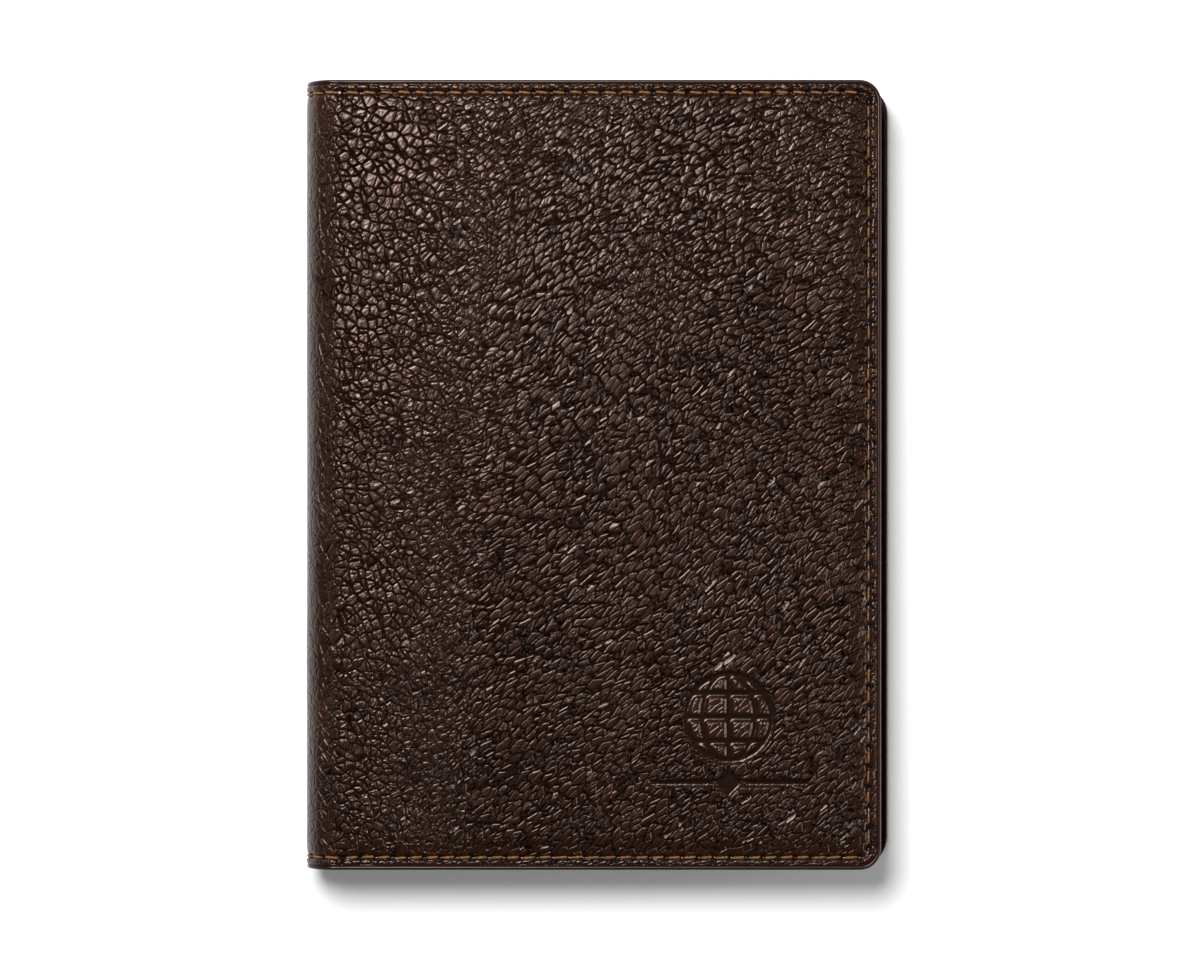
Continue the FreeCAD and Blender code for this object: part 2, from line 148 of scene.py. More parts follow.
def inset(u, v):
    """How far each point of the flat leather lies in from the holder's nearest free edge."""
    front = u > 0
    across = np.where(front, REACH["front"], REACH["back"]) - np.abs(u)
    corner = np.where(front, CORNER["front"], CORNER["back"])
    along = HALF_HEIGHT - np.abs(v)
    in_corner = (across < corner) & (along < corner)
    rounded = corner - np.hypot(corner - across, corner - along)
    return np.where(in_corner, rounded, np.minimum(across, along))


print("the spine's middle line, at the head:", wrap(np.zeros(1), HALF_HEIGHT, 0.0))


# %% Round corners and grid lines
def round_corner(a, b, edge_a, edge_b, radius):
    """Bends the square corner of a grid into a round one, without crossing its lines."""
    s = np.clip((a - edge_a + radius) / radius, 0, 1)
    t = np.clip((b - edge_b + radius) / radius, 0, 1)
    inside = (s > 0) & (t > 0)
    new_a = edge_a - radius + radius * s * np.sqrt(1 - t * t / 2)
    new_b = edge_b - radius + radius * t * np.sqrt(1 - s * s / 2)
    return np.where(inside, new_a, a), np.where(inside, new_b, b)


def lines(*stretches):
    """Grid lines along one side: each stretch is (start, end, spacing)."""
    parts = []
    for start, end, spacing in stretches:
        count = max(1, round((end - start) / spacing))
        parts.append(np.linspace(start, end, count, endpoint=False))
    return np.concatenate(parts + [[stretches[-1][1]]])


def edged_lines(low, high, band, fine, coarse=2 * MM):
    """Grid lines from low to high that are finer in a band at each end."""
    inner = (low + band, high - band)
    return lines((low, inner[0], fine), (*inner, coarse), (inner[1], high, fine))


# %% [markdown]
# ## Where the needle went in
# Saddle-sewn leather has a hole at every stitch's end, and the thread pulls the leather down
# between them. The same list of holes shapes the leather here and carries the thread later,
# so the two always agree. Each row keeps its own pitch.


# %% Rows of needle holes on the flat leather
PITCH = {"head": 3.05 * MM, "tail": 2.85 * MM, "edge": 3.6 * MM, "spine": 3.0 * MM}


def row(start, end, pitch):
    """Evenly spaced holes from start to end, as an array of (u, v)."""
    start, end = np.array(start), np.array(end)
    count = max(1, round(float(np.linalg.norm(end - start)) / pitch))
    return start + (end - start) * np.linspace(0, 1, count + 1)[:, None]


def cover_rows(side):
    """The rows of one cover: head, edge and tail, meeting in its two round corners."""
    sign = SIGN[side]
    far = REACH[side] - STITCH_IN
    high = HALF_HEIGHT - STITCH_IN
    bend = 1.6 * MM
    start = ARC + 0.5 * MM
    return [
        row((sign * start, high), (sign * (far - bend), high), PITCH["head"]),
        row((sign * far, high - bend), (sign * far, bend - high), PITCH["edge"]),
        row((sign * (far - bend), -high), (sign * start, -high), PITCH["tail"]),
    ]


def spine_rows(low, high):
    """The rows that run on round the spine, between two places across the sheet."""
    reach = HALF_HEIGHT - STITCH_IN
    return [row((low, side * reach), (high, side * reach), PITCH["spine"]) for side in (1, -1)]


ROWS = {side: cover_rows(side) for side in ("front", "back")}
ROWS["lower"] = spine_rows(0.4 * MM - ARC, -0.3 * MM)
ROWS["upper"] = spine_rows(0.3 * MM, ARC - 0.4 * MM)
HOLES = np.concatenate([holes for rows in ROWS.values() for holes in rows])
print("needle holes:", len(HOLES))

# %% [markdown]
# ## A pressed mark
# The lower corner of the cover carries a blind-stamped mark. This one is plain and generic:
# a globe of circles and arcs over a thin rule with a lozenge. It is a height field too, a
# set of lines pressed into the leather.

# %% The mark's lines
MARK_AT = (REACH["front"] - 27.0 * MM, -HALF_HEIGHT + 27.0 * MM)
GLOBE = 7.6 * MM
RULE_DROP = 11.6 * MM
RULE_HALF = 14.0 * MM
LOZENGE = 1.9 * MM
LINE = 0.62 * MM
MERIDIAN = 0.62
PARALLELS = (0.0, 0.56)


def pressed_mark(u, v):
    """How deep each place is pressed, from 0 to 1."""
    x, y = u - MARK_AT[0], v - MARK_AT[1]
    far = np.hypot(x, y)
    inside = far < GLOBE
    gaps = [np.abs(far - GLOBE), np.where(inside, np.abs(x), 1)]
    width = np.sqrt(np.maximum(GLOBE**2 - y**2, 1e-12))
    gaps.append(np.where(inside, np.abs(np.abs(x) - MERIDIAN * width), 1))
    for share in PARALLELS:
        gaps.append(np.where(inside, np.abs(np.abs(y) - share * GLOBE), 1))
    below = y + RULE_DROP
    lozenge = np.abs(x) + np.abs(below) - LOZENGE
    rule = np.where((np.abs(x) < RULE_HALF) & (lozenge > 0.9 * MM), np.abs(below), 1)
    gaps.append(np.where(lozenge < 0, 0, lozenge))
    gaps.append(rule)
    nearest = np.minimum.reduce(gaps)
    return 1 - step(nearest, LINE * 0.7, LINE * 1.25)


print("mark centred at", MARK_AT, "on the flat")

# %% [markdown]
# ## The leather's shape on the flat
# From the edge inwards: a grained border, the stitch line sunk into it, a shoulder that rises
# over the foam, and a field with the slightest crown. The grain itself comes after this, so
# that the same pattern can drive both the mesh and the finish.


# %% Height of the leather
RIM_DROP = 0.55 * MM
GROOVE = 0.30 * MM
HOLE_DEEP = 0.42 * MM
HOLE_WIDE = 0.52 * MM
MARK_DEEP = 0.50 * MM


def hole_depth(u, v):
    """The dents at the needle holes, from 0 to 1."""
    dent = np.zeros(u.shape)
    near = inset(u, v) < 4.5 * MM
    for hole_u, hole_v in HOLES:
        close = near & (np.abs(u - hole_u) < 1.6 * MM) & (np.abs(v - hole_v) < 1.6 * MM)
        away = ((u[close] - hole_u) ** 2 + (v[close] - hole_v) ** 2) / HOLE_WIDE**2
        dent[close] = np.maximum(dent[close], np.exp(-away))
    return dent


def on_spine(u):
    """1 round the spine, 0 out on the covers, smooth between."""
    return 1 - step(np.abs(u), ARC - 3.2 * MM, ARC + 1.5 * MM)


def rim_drop(u):
    """How far the sewn rim lies below the plain slab: less round the spine."""
    return RIM_DROP * (1 - 0.75 * on_spine(u))


def leather_height(u, v):
    """The outer leather's lift above the plain slab; never above it."""
    d = inset(u, v)
    spine = on_spine(u)
    shoulder = step(d, 2.2 * MM, 6.2 * MM)
    lift = -rim_drop(u) * (1 - shoulder) - 0.14 * MM * (1 - step(d, 5 * MM, 26 * MM)) * (1 - spine)
    lift += 0.14 * MM * ridge(d, 1.45 * MM, 0.5 * MM)
    lift -= GROOVE * ridge(d, STITCH_IN, 0.36 * MM)
    lift -= 0.20 * MM * ridge(np.abs(u), ARC - 2.6 * MM, 1.3 * MM) * step(d, 3 * MM, 5 * MM)
    lift += 0.05 * MM * (waves(u, v, 26 * MM, 3) - 1) * step(d, 3 * MM, 9 * MM)
    lift -= HOLE_DEEP * hole_depth(u, v)
    lift -= MARK_DEEP * pressed_mark(u, v)
    return lift


print(f"rim {RIM_DROP / MM:.2f} mm down, mark {MARK_DEEP / MM:.2f} mm deep")

# %% [markdown]
# ## Directions for the grain
# Stretched hide creases in two families of nearly straight lines, which leave slanting
# leaf-shaped cells, and it breaks up into round pebbles near the spine. Each vertex carries
# the coordinates of both patterns, in millimetres and in cells, bent by slow waves so that no
# line runs quite straight.


# %% Grain coordinates
FIRST_TURN = math.radians(29)
SECOND_TURN = math.radians(73)
CELL_WIDE = 1.12 * MM
CELL_LONG = 1.45 * MM


def grain_places(u, v):
    """The sets of grain coordinates, by name."""
    x = u + 2.1 * MM * waves(u, v, 80 * MM, 11) + 0.30 * MM * waves(u, v, 15 * MM, 12)
    y = v + 2.1 * MM * waves(u, v, 75 * MM, 13) + 0.30 * MM * waves(u, v, 14 * MM, 14)
    x = x + 0.08 * MM * waves(u, v, 4.4 * MM, 15)
    y = y + 0.08 * MM * waves(u, v, 4.1 * MM, 17)
    first = y * math.cos(FIRST_TURN) - x * math.sin(FIRST_TURN)
    second = x * math.sin(SECOND_TURN) - y * math.cos(SECOND_TURN)
    return {
        "pebbles": np.stack([x, y, 0 * x], axis=-1) / MM,
        "drawn": np.stack([first / CELL_WIDE, second / CELL_LONG, 0 * x], axis=-1),
    }


def grain_share(u, v):
    """How drawn-out the grain is: 0 is round pebbles, 1 is slanting cells."""
    across = step(u, ARC + 2 * MM, ARC + 40 * MM)
    down = step(-v, -60 * MM, 45 * MM)
    share = 0.12 + 0.75 * across + 0.35 * down * (0.3 + across)
    return np.clip(share + 0.12 * waves(u, v, 30 * MM, 16), 0, 1)


def grain_depth(u, v):
    """How strong the grain is: fine on the spine, pressed flat by the mark and the needle."""
    d = inset(u, v)
    spine = 1 - step(np.abs(u), ARC - 4.0 * MM, ARC - 0.5 * MM)
    strength = (1 - 0.72 * spine) * (1 - 0.95 * pressed_mark(u, v))
    strength = strength * (0.55 + 0.45 * step(d, 2.4 * MM, 7 * MM))
    away = step(u, ARC + 20 * MM, ARC + 85 * MM) * step(-v, -55 * MM, 60 * MM)
    strength = strength * (1 - 0.35 * away)
    globe = 1 - step(np.hypot(u - MARK_AT[0], v - MARK_AT[1]), GLOBE - 0.5 * MM, GLOBE + 0.5 * MM)
    strength = strength * (1 - 0.85 * globe)
    return strength * (1 - 0.7 * ridge(d, STITCH_IN, 0.4 * MM)) * step(d, BEAD, BEAD + 0.35 * MM)


# %% [markdown]
# ## From a grid to a closed piece
# Every sheet here is a grid of points for the face that shows, with its own underside and
# side walls, so that each piece is a closed body, as a printer or a simulator needs. A piece
# whose faces come out inside out is turned round by the sign of its volume.


# %% Grids and their rims
def rim_loop(across, along):
    """The indices of a grid's outer edge, once round."""
    number = np.arange(across * along).reshape(across, along)
    return np.concatenate(
        [number[:-1, 0], number[-1, :-1], number[:0:-1, -1], number[0, :0:-1]]
    )


def grid_faces(across, along, first=0):
    """The faces of a grid whose points are numbered on from first."""
    number = first + np.arange(across * along).reshape(across, along)
    quads = [number[:-1, :-1], number[1:, :-1], number[1:, 1:], number[:-1, 1:]]
    return np.stack(quads, axis=-1).reshape(-1, 4).tolist()


def volume(points, faces):
    """The signed volume inside faces; below 0 if they face inwards."""
    triangles = [(face[0], face[i], face[i + 1]) for face in faces for i in range(1, len(face) - 1)]
    a, b, c = (points[column] - points[0] for column in np.array(triangles).T)
    return float((np.cross(a, b) * c).sum()) / 6


# %% Mesh pieces and closed sheets
def crisp_edges(mesh):
    """Keeps the shading of smooth faces apart from that of flat ones beside them."""
    edge_of = np.zeros(len(mesh.loops), int)
    mesh.loops.foreach_get("edge_index", edge_of)
    corners = np.zeros(len(mesh.polygons), int)
    mesh.polygons.foreach_get("loop_total", corners)
    smooth = np.zeros(len(mesh.polygons), bool)
    mesh.polygons.foreach_get("use_smooth", smooth)
    sharp = np.zeros(len(mesh.edges), bool)
    sharp[edge_of[~np.repeat(smooth, corners)]] = True
    mesh.edges.foreach_set("use_edge_sharp", sharp)


def mesh_piece(name, points, faces, smooth=None):
    """A mesh object from points and faces, facing outwards."""
    points = np.asarray(points, float)
    if volume(points, faces) < 0:
        faces = [face[::-1] for face in faces]
    mesh = bpy.data.meshes.new(name)
    mesh.from_pydata(points.tolist(), [], faces)
    mesh.polygons.foreach_set("use_smooth", smooth if smooth is not None else [True] * len(faces))
    crisp_edges(mesh)
    piece = bpy.data.objects.new(name, mesh)
    bpy.context.scene.collection.objects.link(piece)
    return piece


def closed_sheet(name, top, under):
    """A sheet with a grid of points for each face, and walls between them."""
    across, along = top.shape[:2]
    count = across * along
    loop = rim_loop(across, along)
    turned = np.roll(loop, -1)
    faces = grid_faces(across, along)
    faces += [face[::-1] for face in grid_faces(across, along, count)]
    walls = np.stack([loop, loop + count, turned + count, turned], axis=-1).tolist()
    points = np.concatenate([top.reshape(-1, 3), under.reshape(-1, 3)])
    return mesh_piece(name, points, faces + walls, [True] * len(faces) + [False] * len(walls))


# %% Values carried on a piece's points
def carry(piece, name, values):
    """Stores a number or a vector on each of a piece's points."""
    kind = "FLOAT" if values.ndim == 1 else "FLOAT_VECTOR"
    attribute = piece.data.attributes.new(name, kind, "POINT")
    field = "value" if kind == "FLOAT" else "vector"
    attribute.data.foreach_set(field, values.ravel().astype(np.float32))


def carry_grain(piece, u, v, depth):
    """Stores the grain's coordinates and strength on a piece, from its flat places."""
    for name, places in grain_places(u, v).items():
        carry(piece, name, places)
    carry(piece, "outward", wrap(u, v, 0 * u + 1) - wrap(u, v, 0 * u))
    carry(piece, "grain_share", grain_share(u, v))
    carry(piece, "grain_depth", depth)
    # needle: where shade is painted into the needle holes and the pressed mark's lines
    carry(piece, "needle", np.maximum(hole_depth(u, v), 0.55 * pressed_mark(u, v)))


# %% [markdown]
# ## One grain for the mesh and the finish
# The pebbles are cells of a Voronoi pattern. The same nodes are put both into a geometry
# tree, which lifts the mesh, and into the leather's material, which adds the sharp creases
# that are finer than the mesh. A texture bump alone would leave a flat silhouette, and a
# mesh fine enough for the creases would be needlessly heavy.


# %% Node helpers
def add_node(tree, kind, inputs=(), **settings):
    """A node with its settings; inputs are (socket, value or socket to link)."""
    node = tree.nodes.new(kind)
    for key, setting in settings.items():
        setattr(node, key, setting)
    for socket, source in inputs:
        if isinstance(source, bpy.types.NodeSocket):
            tree.links.new(source, node.inputs[socket])
        else:
            node.inputs[socket].default_value = source
    return node


def maths(tree, operation, a, b=0.0, clamp=False):
    """The result of one sum on numbers or sockets."""
    node = add_node(tree, "ShaderNodeMath", [(0, a), (1, b)], operation=operation, use_clamp=clamp)
    return node.outputs[0]


def smooth_range(tree, source, low, high, to_low=0.0, to_high=1.0):
    """source from low to high, as a smooth step between two values."""
    node = add_node(
        tree,
        "ShaderNodeMapRange",
        [("Value", source), ("From Min", low), ("From Max", high), ("To Min", to_low), ("To Max", to_high)],
        interpolation_type="SMOOTHSTEP",
    )
    return node.outputs["Result"]


def mixed(tree, share, a, b):
    """a where share is 0, b where it is 1."""
    return maths(tree, "ADD", maths(tree, "MULTIPLY", maths(tree, "SUBTRACT", b, a), share), a)


def cell_edges(tree, places, scale, randomness=1.0):
    """The distance from each place to the nearest edge of its cell."""
    node = add_node(
        tree,
        "ShaderNodeTexVoronoi",
        [("Vector", places), ("Scale", scale), ("Randomness", randomness)],
        feature="DISTANCE_TO_EDGE",
    )
    return node.outputs["Distance"]


def noise(tree, places, scale, detail=2.0, roughness=0.5):
    """Cloudy noise, mostly between 0.3 and 0.7."""
    node = add_node(
        tree,
        "ShaderNodeTexNoise",
        [("Vector", places), ("Scale", scale), ("Detail", detail), ("Roughness", roughness)],
    )
    return node.outputs["Fac"]


# %% The grain itself
PEBBLE_SCALE = 0.62
FINE_SCALE = 1.45
DOME_WIDTH = {"round": 0.20, "drawn": 0.18}
SHARP_DOME = 1.15
SOFT_DOME = 1.4
CREASE_WIDTH = {"round": 0.100, "drawn": 0.125}


def dome(tree, edge, rise):
    """A rounded pebble: steep at its edge, flat on top."""
    low_share = maths(tree, "SUBTRACT", 1.0, maths(tree, "DIVIDE", edge, rise, clamp=True), clamp=True)
    return maths(tree, "SUBTRACT", 1.0, maths(tree, "MULTIPLY", low_share, low_share))


def grain_height(tree, attribute, sharp):
    """The grain's height from 0 to 1, and how much of a crease each place is.

    attribute(name, is_vector) gives a socket for a stored value in this kind of tree, and
    sharp says whether to add the creases that are too fine for the mesh."""
    pebbles = attribute("pebbles", True)
    share = attribute("grain_share", False)
    edges = {
        "round": cell_edges(tree, pebbles, PEBBLE_SCALE),
        "drawn": cell_edges(tree, attribute("drawn", True), 1.0, 0.8),
    }
    wide = SHARP_DOME if sharp else SOFT_DOME
    domes = {name: dome(tree, edges[name], wide * DOME_WIDTH[name]) for name in edges}
    height = mixed(tree, share, domes["round"], domes["drawn"])
    if not sharp:
        return height, None
    creases = {}
    for name, width in CREASE_WIDTH.items():
        creases[name] = smooth_range(tree, edges[name], 0.0, width, 1.0, 0.0)
    beads = smooth_range(tree, noise(tree, pebbles, 1.9, 1.0), 0.34, 0.58, 0.60, 1.0)
    weak = maths(tree, "MULTIPLY", creases["drawn"], beads)
    crease = mixed(tree, share, creases["round"], weak)
    fine = smooth_range(tree, cell_edges(tree, pebbles, FINE_SCALE), 0.0, 0.10, 1.0, 0.0)
    patchy = smooth_range(tree, noise(tree, pebbles, 0.22, 2.0), 0.45, 0.65, 0.0, 0.30)
    crease = maths(tree, "MAXIMUM", crease, maths(tree, "MULTIPLY", fine, patchy))
    return height, crease


# %% Lifting the mesh by the grain
GRAIN_RISE = 0.06 * MM


def lift_grain(piece):
    """Moves the mesh in at the creases, by the same pattern as the finish, and keeps it so."""
    tree = bpy.data.node_groups.new("grain_lift", "GeometryNodeTree")
    tree.interface.new_socket("Geometry", in_out="INPUT", socket_type="NodeSocketGeometry")
    tree.interface.new_socket("Geometry", in_out="OUTPUT", socket_type="NodeSocketGeometry")

    def attribute(name, is_vector):
        kind = "FLOAT_VECTOR" if is_vector else "FLOAT"
        node = add_node(tree, "GeometryNodeInputNamedAttribute", data_type=kind)
        node.inputs["Name"].default_value = name
        return node.outputs["Attribute"]

    height, _ = grain_height(tree, attribute, sharp=False)
    deep = maths(tree, "MULTIPLY", maths(tree, "SUBTRACT", height, 1.0), attribute("grain_depth", False))
    outward = attribute("outward", True)
    move = add_node(tree, "ShaderNodeVectorMath", [(0, outward)], operation="SCALE")
    tree.links.new(maths(tree, "MULTIPLY", deep, GRAIN_RISE), move.inputs["Scale"])
    source = tree.nodes.new("NodeGroupInput")
    result = tree.nodes.new("NodeGroupOutput")
    places = [("Geometry", source.outputs[0]), ("Offset", move.outputs[0])]
    moved = add_node(tree, "GeometryNodeSetPosition", places)
    tree.links.new(moved.outputs[0], result.inputs[0])
    piece.modifiers.new("grain", "NODES").node_group = tree
    graph = bpy.context.evaluated_depsgraph_get()
    shaped = bpy.data.meshes.new_from_object(
        piece.evaluated_get(graph), preserve_all_data_layers=True, depsgraph=graph
    )
    piece.modifiers.clear()
    piece.data = shaped
    bpy.data.node_groups.remove(tree)


# %% [markdown]
# ## The leather's finish
# Finished hide has a pigment coat, warm brown on the pebbles, and a soft shine. The creases
# are painted nearly black, with their shine taken away, as painted shade. Tiny pores and a slow
# change of tone keep it from looking like plastic.


# %% Finish helpers
def new_material(name, **sockets):
    """A material whose constant values sit on the shader's own sockets."""
    material = bpy.data.materials.new(name)
    material.use_nodes = True
    shader = material.node_tree.nodes["Principled BSDF"]
    for socket, value in sockets.items():
        shader.inputs[socket.replace("_", " ")].default_value = value
    return material, material.node_tree, shader


def shader_attribute(tree):
    """attribute() for a material: reads a value stored on the mesh."""

    def attribute(name, is_vector):
        node = add_node(tree, "ShaderNodeAttribute", attribute_name=name)
        return node.outputs["Vector" if is_vector else "Fac"]

    return attribute


def colour_mix(tree, share, a, b):
    """Colour a where share is 0, b where it is 1."""
    node = tree.nodes.new("ShaderNodeMix")
    node.data_type = "RGBA"
    for index, source in ((0, share), (6, a), (7, b)):
        if isinstance(source, bpy.types.NodeSocket):
            tree.links.new(source, node.inputs[index])
        else:
            node.inputs[index].default_value = source
    return node.outputs[2]


def bump(tree, height, distance, strength=1.0, normal=None):
    """A surface that a height pattern tips, distance high, on top of another normal."""
    node = add_node(
        tree, "ShaderNodeBump", [("Height", height), ("Distance", distance), ("Strength", strength)]
    )
    if normal is not None:
        tree.links.new(normal, node.inputs["Normal"])
    return node.outputs["Normal"]


# %% Pebbled leather
BROWN = (0.0180, 0.0066, 0.0036, 1)
WARM = (0.0250, 0.0088, 0.0044, 1)
SHEEN = (1.0, 0.74, 0.64, 1)
# nearly black: painted shade for the leather's creases and the pocket grain's lines
CREASE_SHADE = (0.0009, 0.0004, 0.0003, 1)
# painted shade for the needle holes and the pressed mark's lines
PRESSED_SHADE = (0.001, 0.0006, 0.0005, 1)


def pebbled_leather():
    """Painted shade in the creases, warm pebbles and a shine that stops at the creases."""
    material, tree, shader = new_material("pebbled_leather", IOR=1.47, Specular_Tint=SHEEN)
    attribute = shader_attribute(tree)
    height, crease = grain_height(tree, attribute, sharp=True)
    depth = attribute("grain_depth", False)
    pebbles = attribute("pebbles", True)
    tone = smooth_range(tree, noise(tree, pebbles, 0.09, 3.0), 0.35, 0.7)
    base = colour_mix(tree, tone, BROWN, WARM)
    # painted shade: the creases are painted nearly black
    crease_shade = maths(tree, "MULTIPLY", crease, smooth_range(tree, depth, 0.0, 0.55))
    base = colour_mix(tree, crease_shade, base, CREASE_SHADE)
    # painted shade: the needle holes and the pressed mark's lines are darkened nearly to black
    base = colour_mix(tree, attribute("needle", False), base, PRESSED_SHADE)
    tree.links.new(base, shader.inputs["Base Color"])
    rough = maths(tree, "ADD", maths(tree, "MULTIPLY", noise(tree, pebbles, 2.2, 3.0), 0.12), 0.15)
    tree.links.new(rough, shader.inputs["Roughness"])
    # painted shade also takes the shine out of the creases
    shine = maths(tree, "SUBTRACT", 0.52, maths(tree, "MULTIPLY", crease_shade, 0.52))
    tree.links.new(shine, shader.inputs["Specular IOR Level"])
    pores = noise(tree, pebbles, 5.5, 4.0, 0.65)
    relief = maths(tree, "MULTIPLY", maths(tree, "SUBTRACT", height, crease), depth)
    normal = bump(tree, relief, 0.20 * MM)
    normal = bump(tree, pores, 0.012 * MM, 1.0, normal)
    tree.links.new(normal, shader.inputs["Normal"])
    return material


LEATHER = pebbled_leather()
print(LEATHER.name, len(LEATHER.node_tree.nodes), "nodes")

# %% [markdown]
# ## The outer leather of each cover
# The face that shows is a fine grid, finest along the stitching and at the mark. Underneath
# is the hollow that the foam lies in: a flat sewn rim, and a raised ceiling inside it.

# %% Grid lines
EDGE_FINE = 0.24 * MM
MARK_FINE = 0.27 * MM
FIELD = 0.50 * MM
EDGE_BAND = 4.2 * MM
LEATHER_THICK = 1.0 * MM
RIM_UNDER = 1.6 * MM
FOAM_ROOM = 0.2 * MM
FOAM_CORNER = 2.4 * MM


def cover_lines(side):
    """Grid lines across and along a cover, as distances on the flat leather."""
    reach = REACH[side] - BEAD
    high = HALF_HEIGHT - BEAD
    bottom, top = MARK_AT[1] - RULE_DROP - 3 * MM, MARK_AT[1] + GLOBE + MM
    if side == "back":
        across = lines((ARC, reach - EDGE_BAND, FIELD), (reach - EDGE_BAND, reach, EDGE_FINE))
    else:
        left, right = MARK_AT[0] - RULE_HALF - MM, MARK_AT[0] + RULE_HALF + MM
        across = lines(
            (ARC, left, FIELD),
            (left, right, MARK_FINE),
            (right, reach - EDGE_BAND, FIELD),
            (reach - EDGE_BAND, reach, EDGE_FINE),
        )
    inner = [
        (-high + EDGE_BAND, bottom, FIELD),
        (bottom, top, MARK_FINE),
        (top, high - EDGE_BAND, FIELD),
    ]
    ends = ((-high, -high + EDGE_BAND, EDGE_FINE), (high - EDGE_BAND, high, EDGE_FINE))
    return across, lines(ends[0], *inner, ends[1])


def cover_grid(side, across, along):
    """A grid on one cover, with its outer corners rounded, just inside the painted edge."""
    a, b = np.meshgrid(across, along, indexing="ij")
    radius = CORNER[side] - BEAD
    a, high = round_corner(a, np.abs(b), REACH[side] - BEAD, HALF_HEIGHT - BEAD, radius)
    return SIGN[side] * a, np.copysign(high, b)


print("grid lines:", {side: [len(part) for part in cover_lines(side)] for side in SIGN})


# %% The foam's hollow
def hollow_loop(side, steps=8):
    """The outline of the foam's hollow, as flat places."""
    low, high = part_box(f"{side}_foam")
    x0, x1, y1 = low.x - FOAM_ROOM, high.x + FOAM_ROOM, high.y + FOAM_ROOM
    centre_x, centre_y = x1 - FOAM_CORNER, y1 - FOAM_CORNER
    turns = [math.pi / 2 * i / steps for i in range(steps + 1)]
    loop = [(x0, -y1), (x0, y1)]
    for turn in turns:
        out = (FOAM_CORNER * math.sin(turn), FOAM_CORNER * math.cos(turn))
        loop.append((centre_x + out[0], centre_y + out[1]))
    for turn in turns:
        out = (FOAM_CORNER * math.cos(turn), FOAM_CORNER * math.sin(turn))
        loop.append((centre_x + out[0], -centre_y - out[1]))
    return [(SIGN[side] * (x - SPINE_X + ARC), y) for x, y in loop]


# %% Outer leather of the covers
def cover_leather(side):
    """One cover's leather: the grained face, a flat sewn rim and the foam's hollow."""
    u, v = cover_grid(side, *cover_lines(side))
    top = wrap(u, v, leather_height(u, v)).reshape(-1, 3)
    loop = rim_loop(*u.shape)
    loop_u, loop_v = u.ravel()[loop], v.ravel()[loop]
    outer = wrap(loop_u, loop_v, -RIM_UNDER + 0 * loop_u)
    hole_u, hole_v = (np.array(places) for places in zip(*hollow_loop(side)))
    mouth = wrap(hole_u, hole_v, -RIM_UNDER + 0 * hole_u)
    ceiling = wrap(hole_u, hole_v, -LEATHER_THICK - 0.15 * MM + 0 * hole_u)
    points = np.concatenate([top, outer, mouth, ceiling])
    first_outer, first_mouth = len(top), len(top) + len(outer)
    first_ceiling = first_mouth + len(mouth)
    faces = grid_faces(*u.shape)
    smooth = [True] * len(faces)
    turned = np.roll(np.arange(len(loop)), -1)
    for i, j in enumerate(turned):
        faces.append([int(loop[i]), first_outer + i, first_outer + int(j), int(loop[j])])
    loops = ((loop_u, loop_v), (hole_u, hole_v))
    flat = [[Vector((x, y, 0)) for x, y in zip(*places)] for places in loops]
    for triangle in tessellate_polygon(flat):
        corners = [first_outer + index for index in triangle]
        a, b, c = (points[index] for index in corners)
        upwards = np.cross(b - a, c - a)[2] > 0
        if upwards == (side == "front"):
            corners = corners[::-1]
        faces.append(corners)
    count = len(mouth)
    walls = [
        [first_mouth + i, first_mouth + (i + 1) % count, first_ceiling + (i + 1) % count, first_ceiling + i]
        for i in range(count)
    ]
    lid = list(range(first_ceiling, first_ceiling + count))
    clockwise = np.cross(points[lid[1]] - points[lid[0]], points[lid[2]] - points[lid[0]])[2] > 0
    if clockwise == (side == "front"):
        lid = lid[::-1]
    wall = walls[0]
    out = np.cross(points[wall[1]] - points[wall[0]], points[wall[2]] - points[wall[0]])
    centre = points[lid].mean(axis=0)
    if out @ (points[wall[0]] - centre) > 0:
        walls = [face[::-1] for face in walls]
    faces += walls + [lid]
    smooth += [False] * (len(faces) - len(smooth))
    piece = mesh_piece(f"{side}_cover_leather", points, faces, smooth)
    flat_u = np.concatenate([u.ravel(), loop_u, hole_u, hole_u])
    flat_v = np.concatenate([v.ravel(), loop_v, hole_v, hole_v])
    depth = grain_depth(flat_u, flat_v)
    depth[len(top) :] = 0
    carry_grain(piece, flat_u, flat_v, depth)
    lift_grain(piece)
    piece.data.materials.append(LEATHER)
    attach(piece, f"{side}_cover")
    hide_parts(f"{side}_leather")
    print(piece.name, len(piece.data.polygons), "faces")
    return piece


for side in SIGN:
    cover_leather(side)

# %% [markdown]
# ## The leather round the spine
# The same sheet runs on round the spine. It is made as two halves that meet on the spine's
# middle line: the lower half on the back cover's side, the upper half on the front cover's
# side. Both use the covers' own grid along the holder, so the grain and
# the surface run on without a step.

# %% Spine leather
HINGES = {
    "lower": ("back_cover", "spine", (SPINE_X, 0, 0), (SPINE_X - RADIUS, 0, RADIUS)),
    "upper": ("spine", "front_cover", (SPINE_X - RADIUS, 0, RADIUS), (SPINE_X, 0, THICK)),
}
SPINE_FINE = 0.28 * MM


def bend(piece, half):
    """Bakes a piece's placement into its mesh."""
    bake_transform(piece)


def spine_span(half):
    """The half's stretch across the flat leather."""
    return (-ARC, 0.0) if half == "lower" else (0.0, ARC)


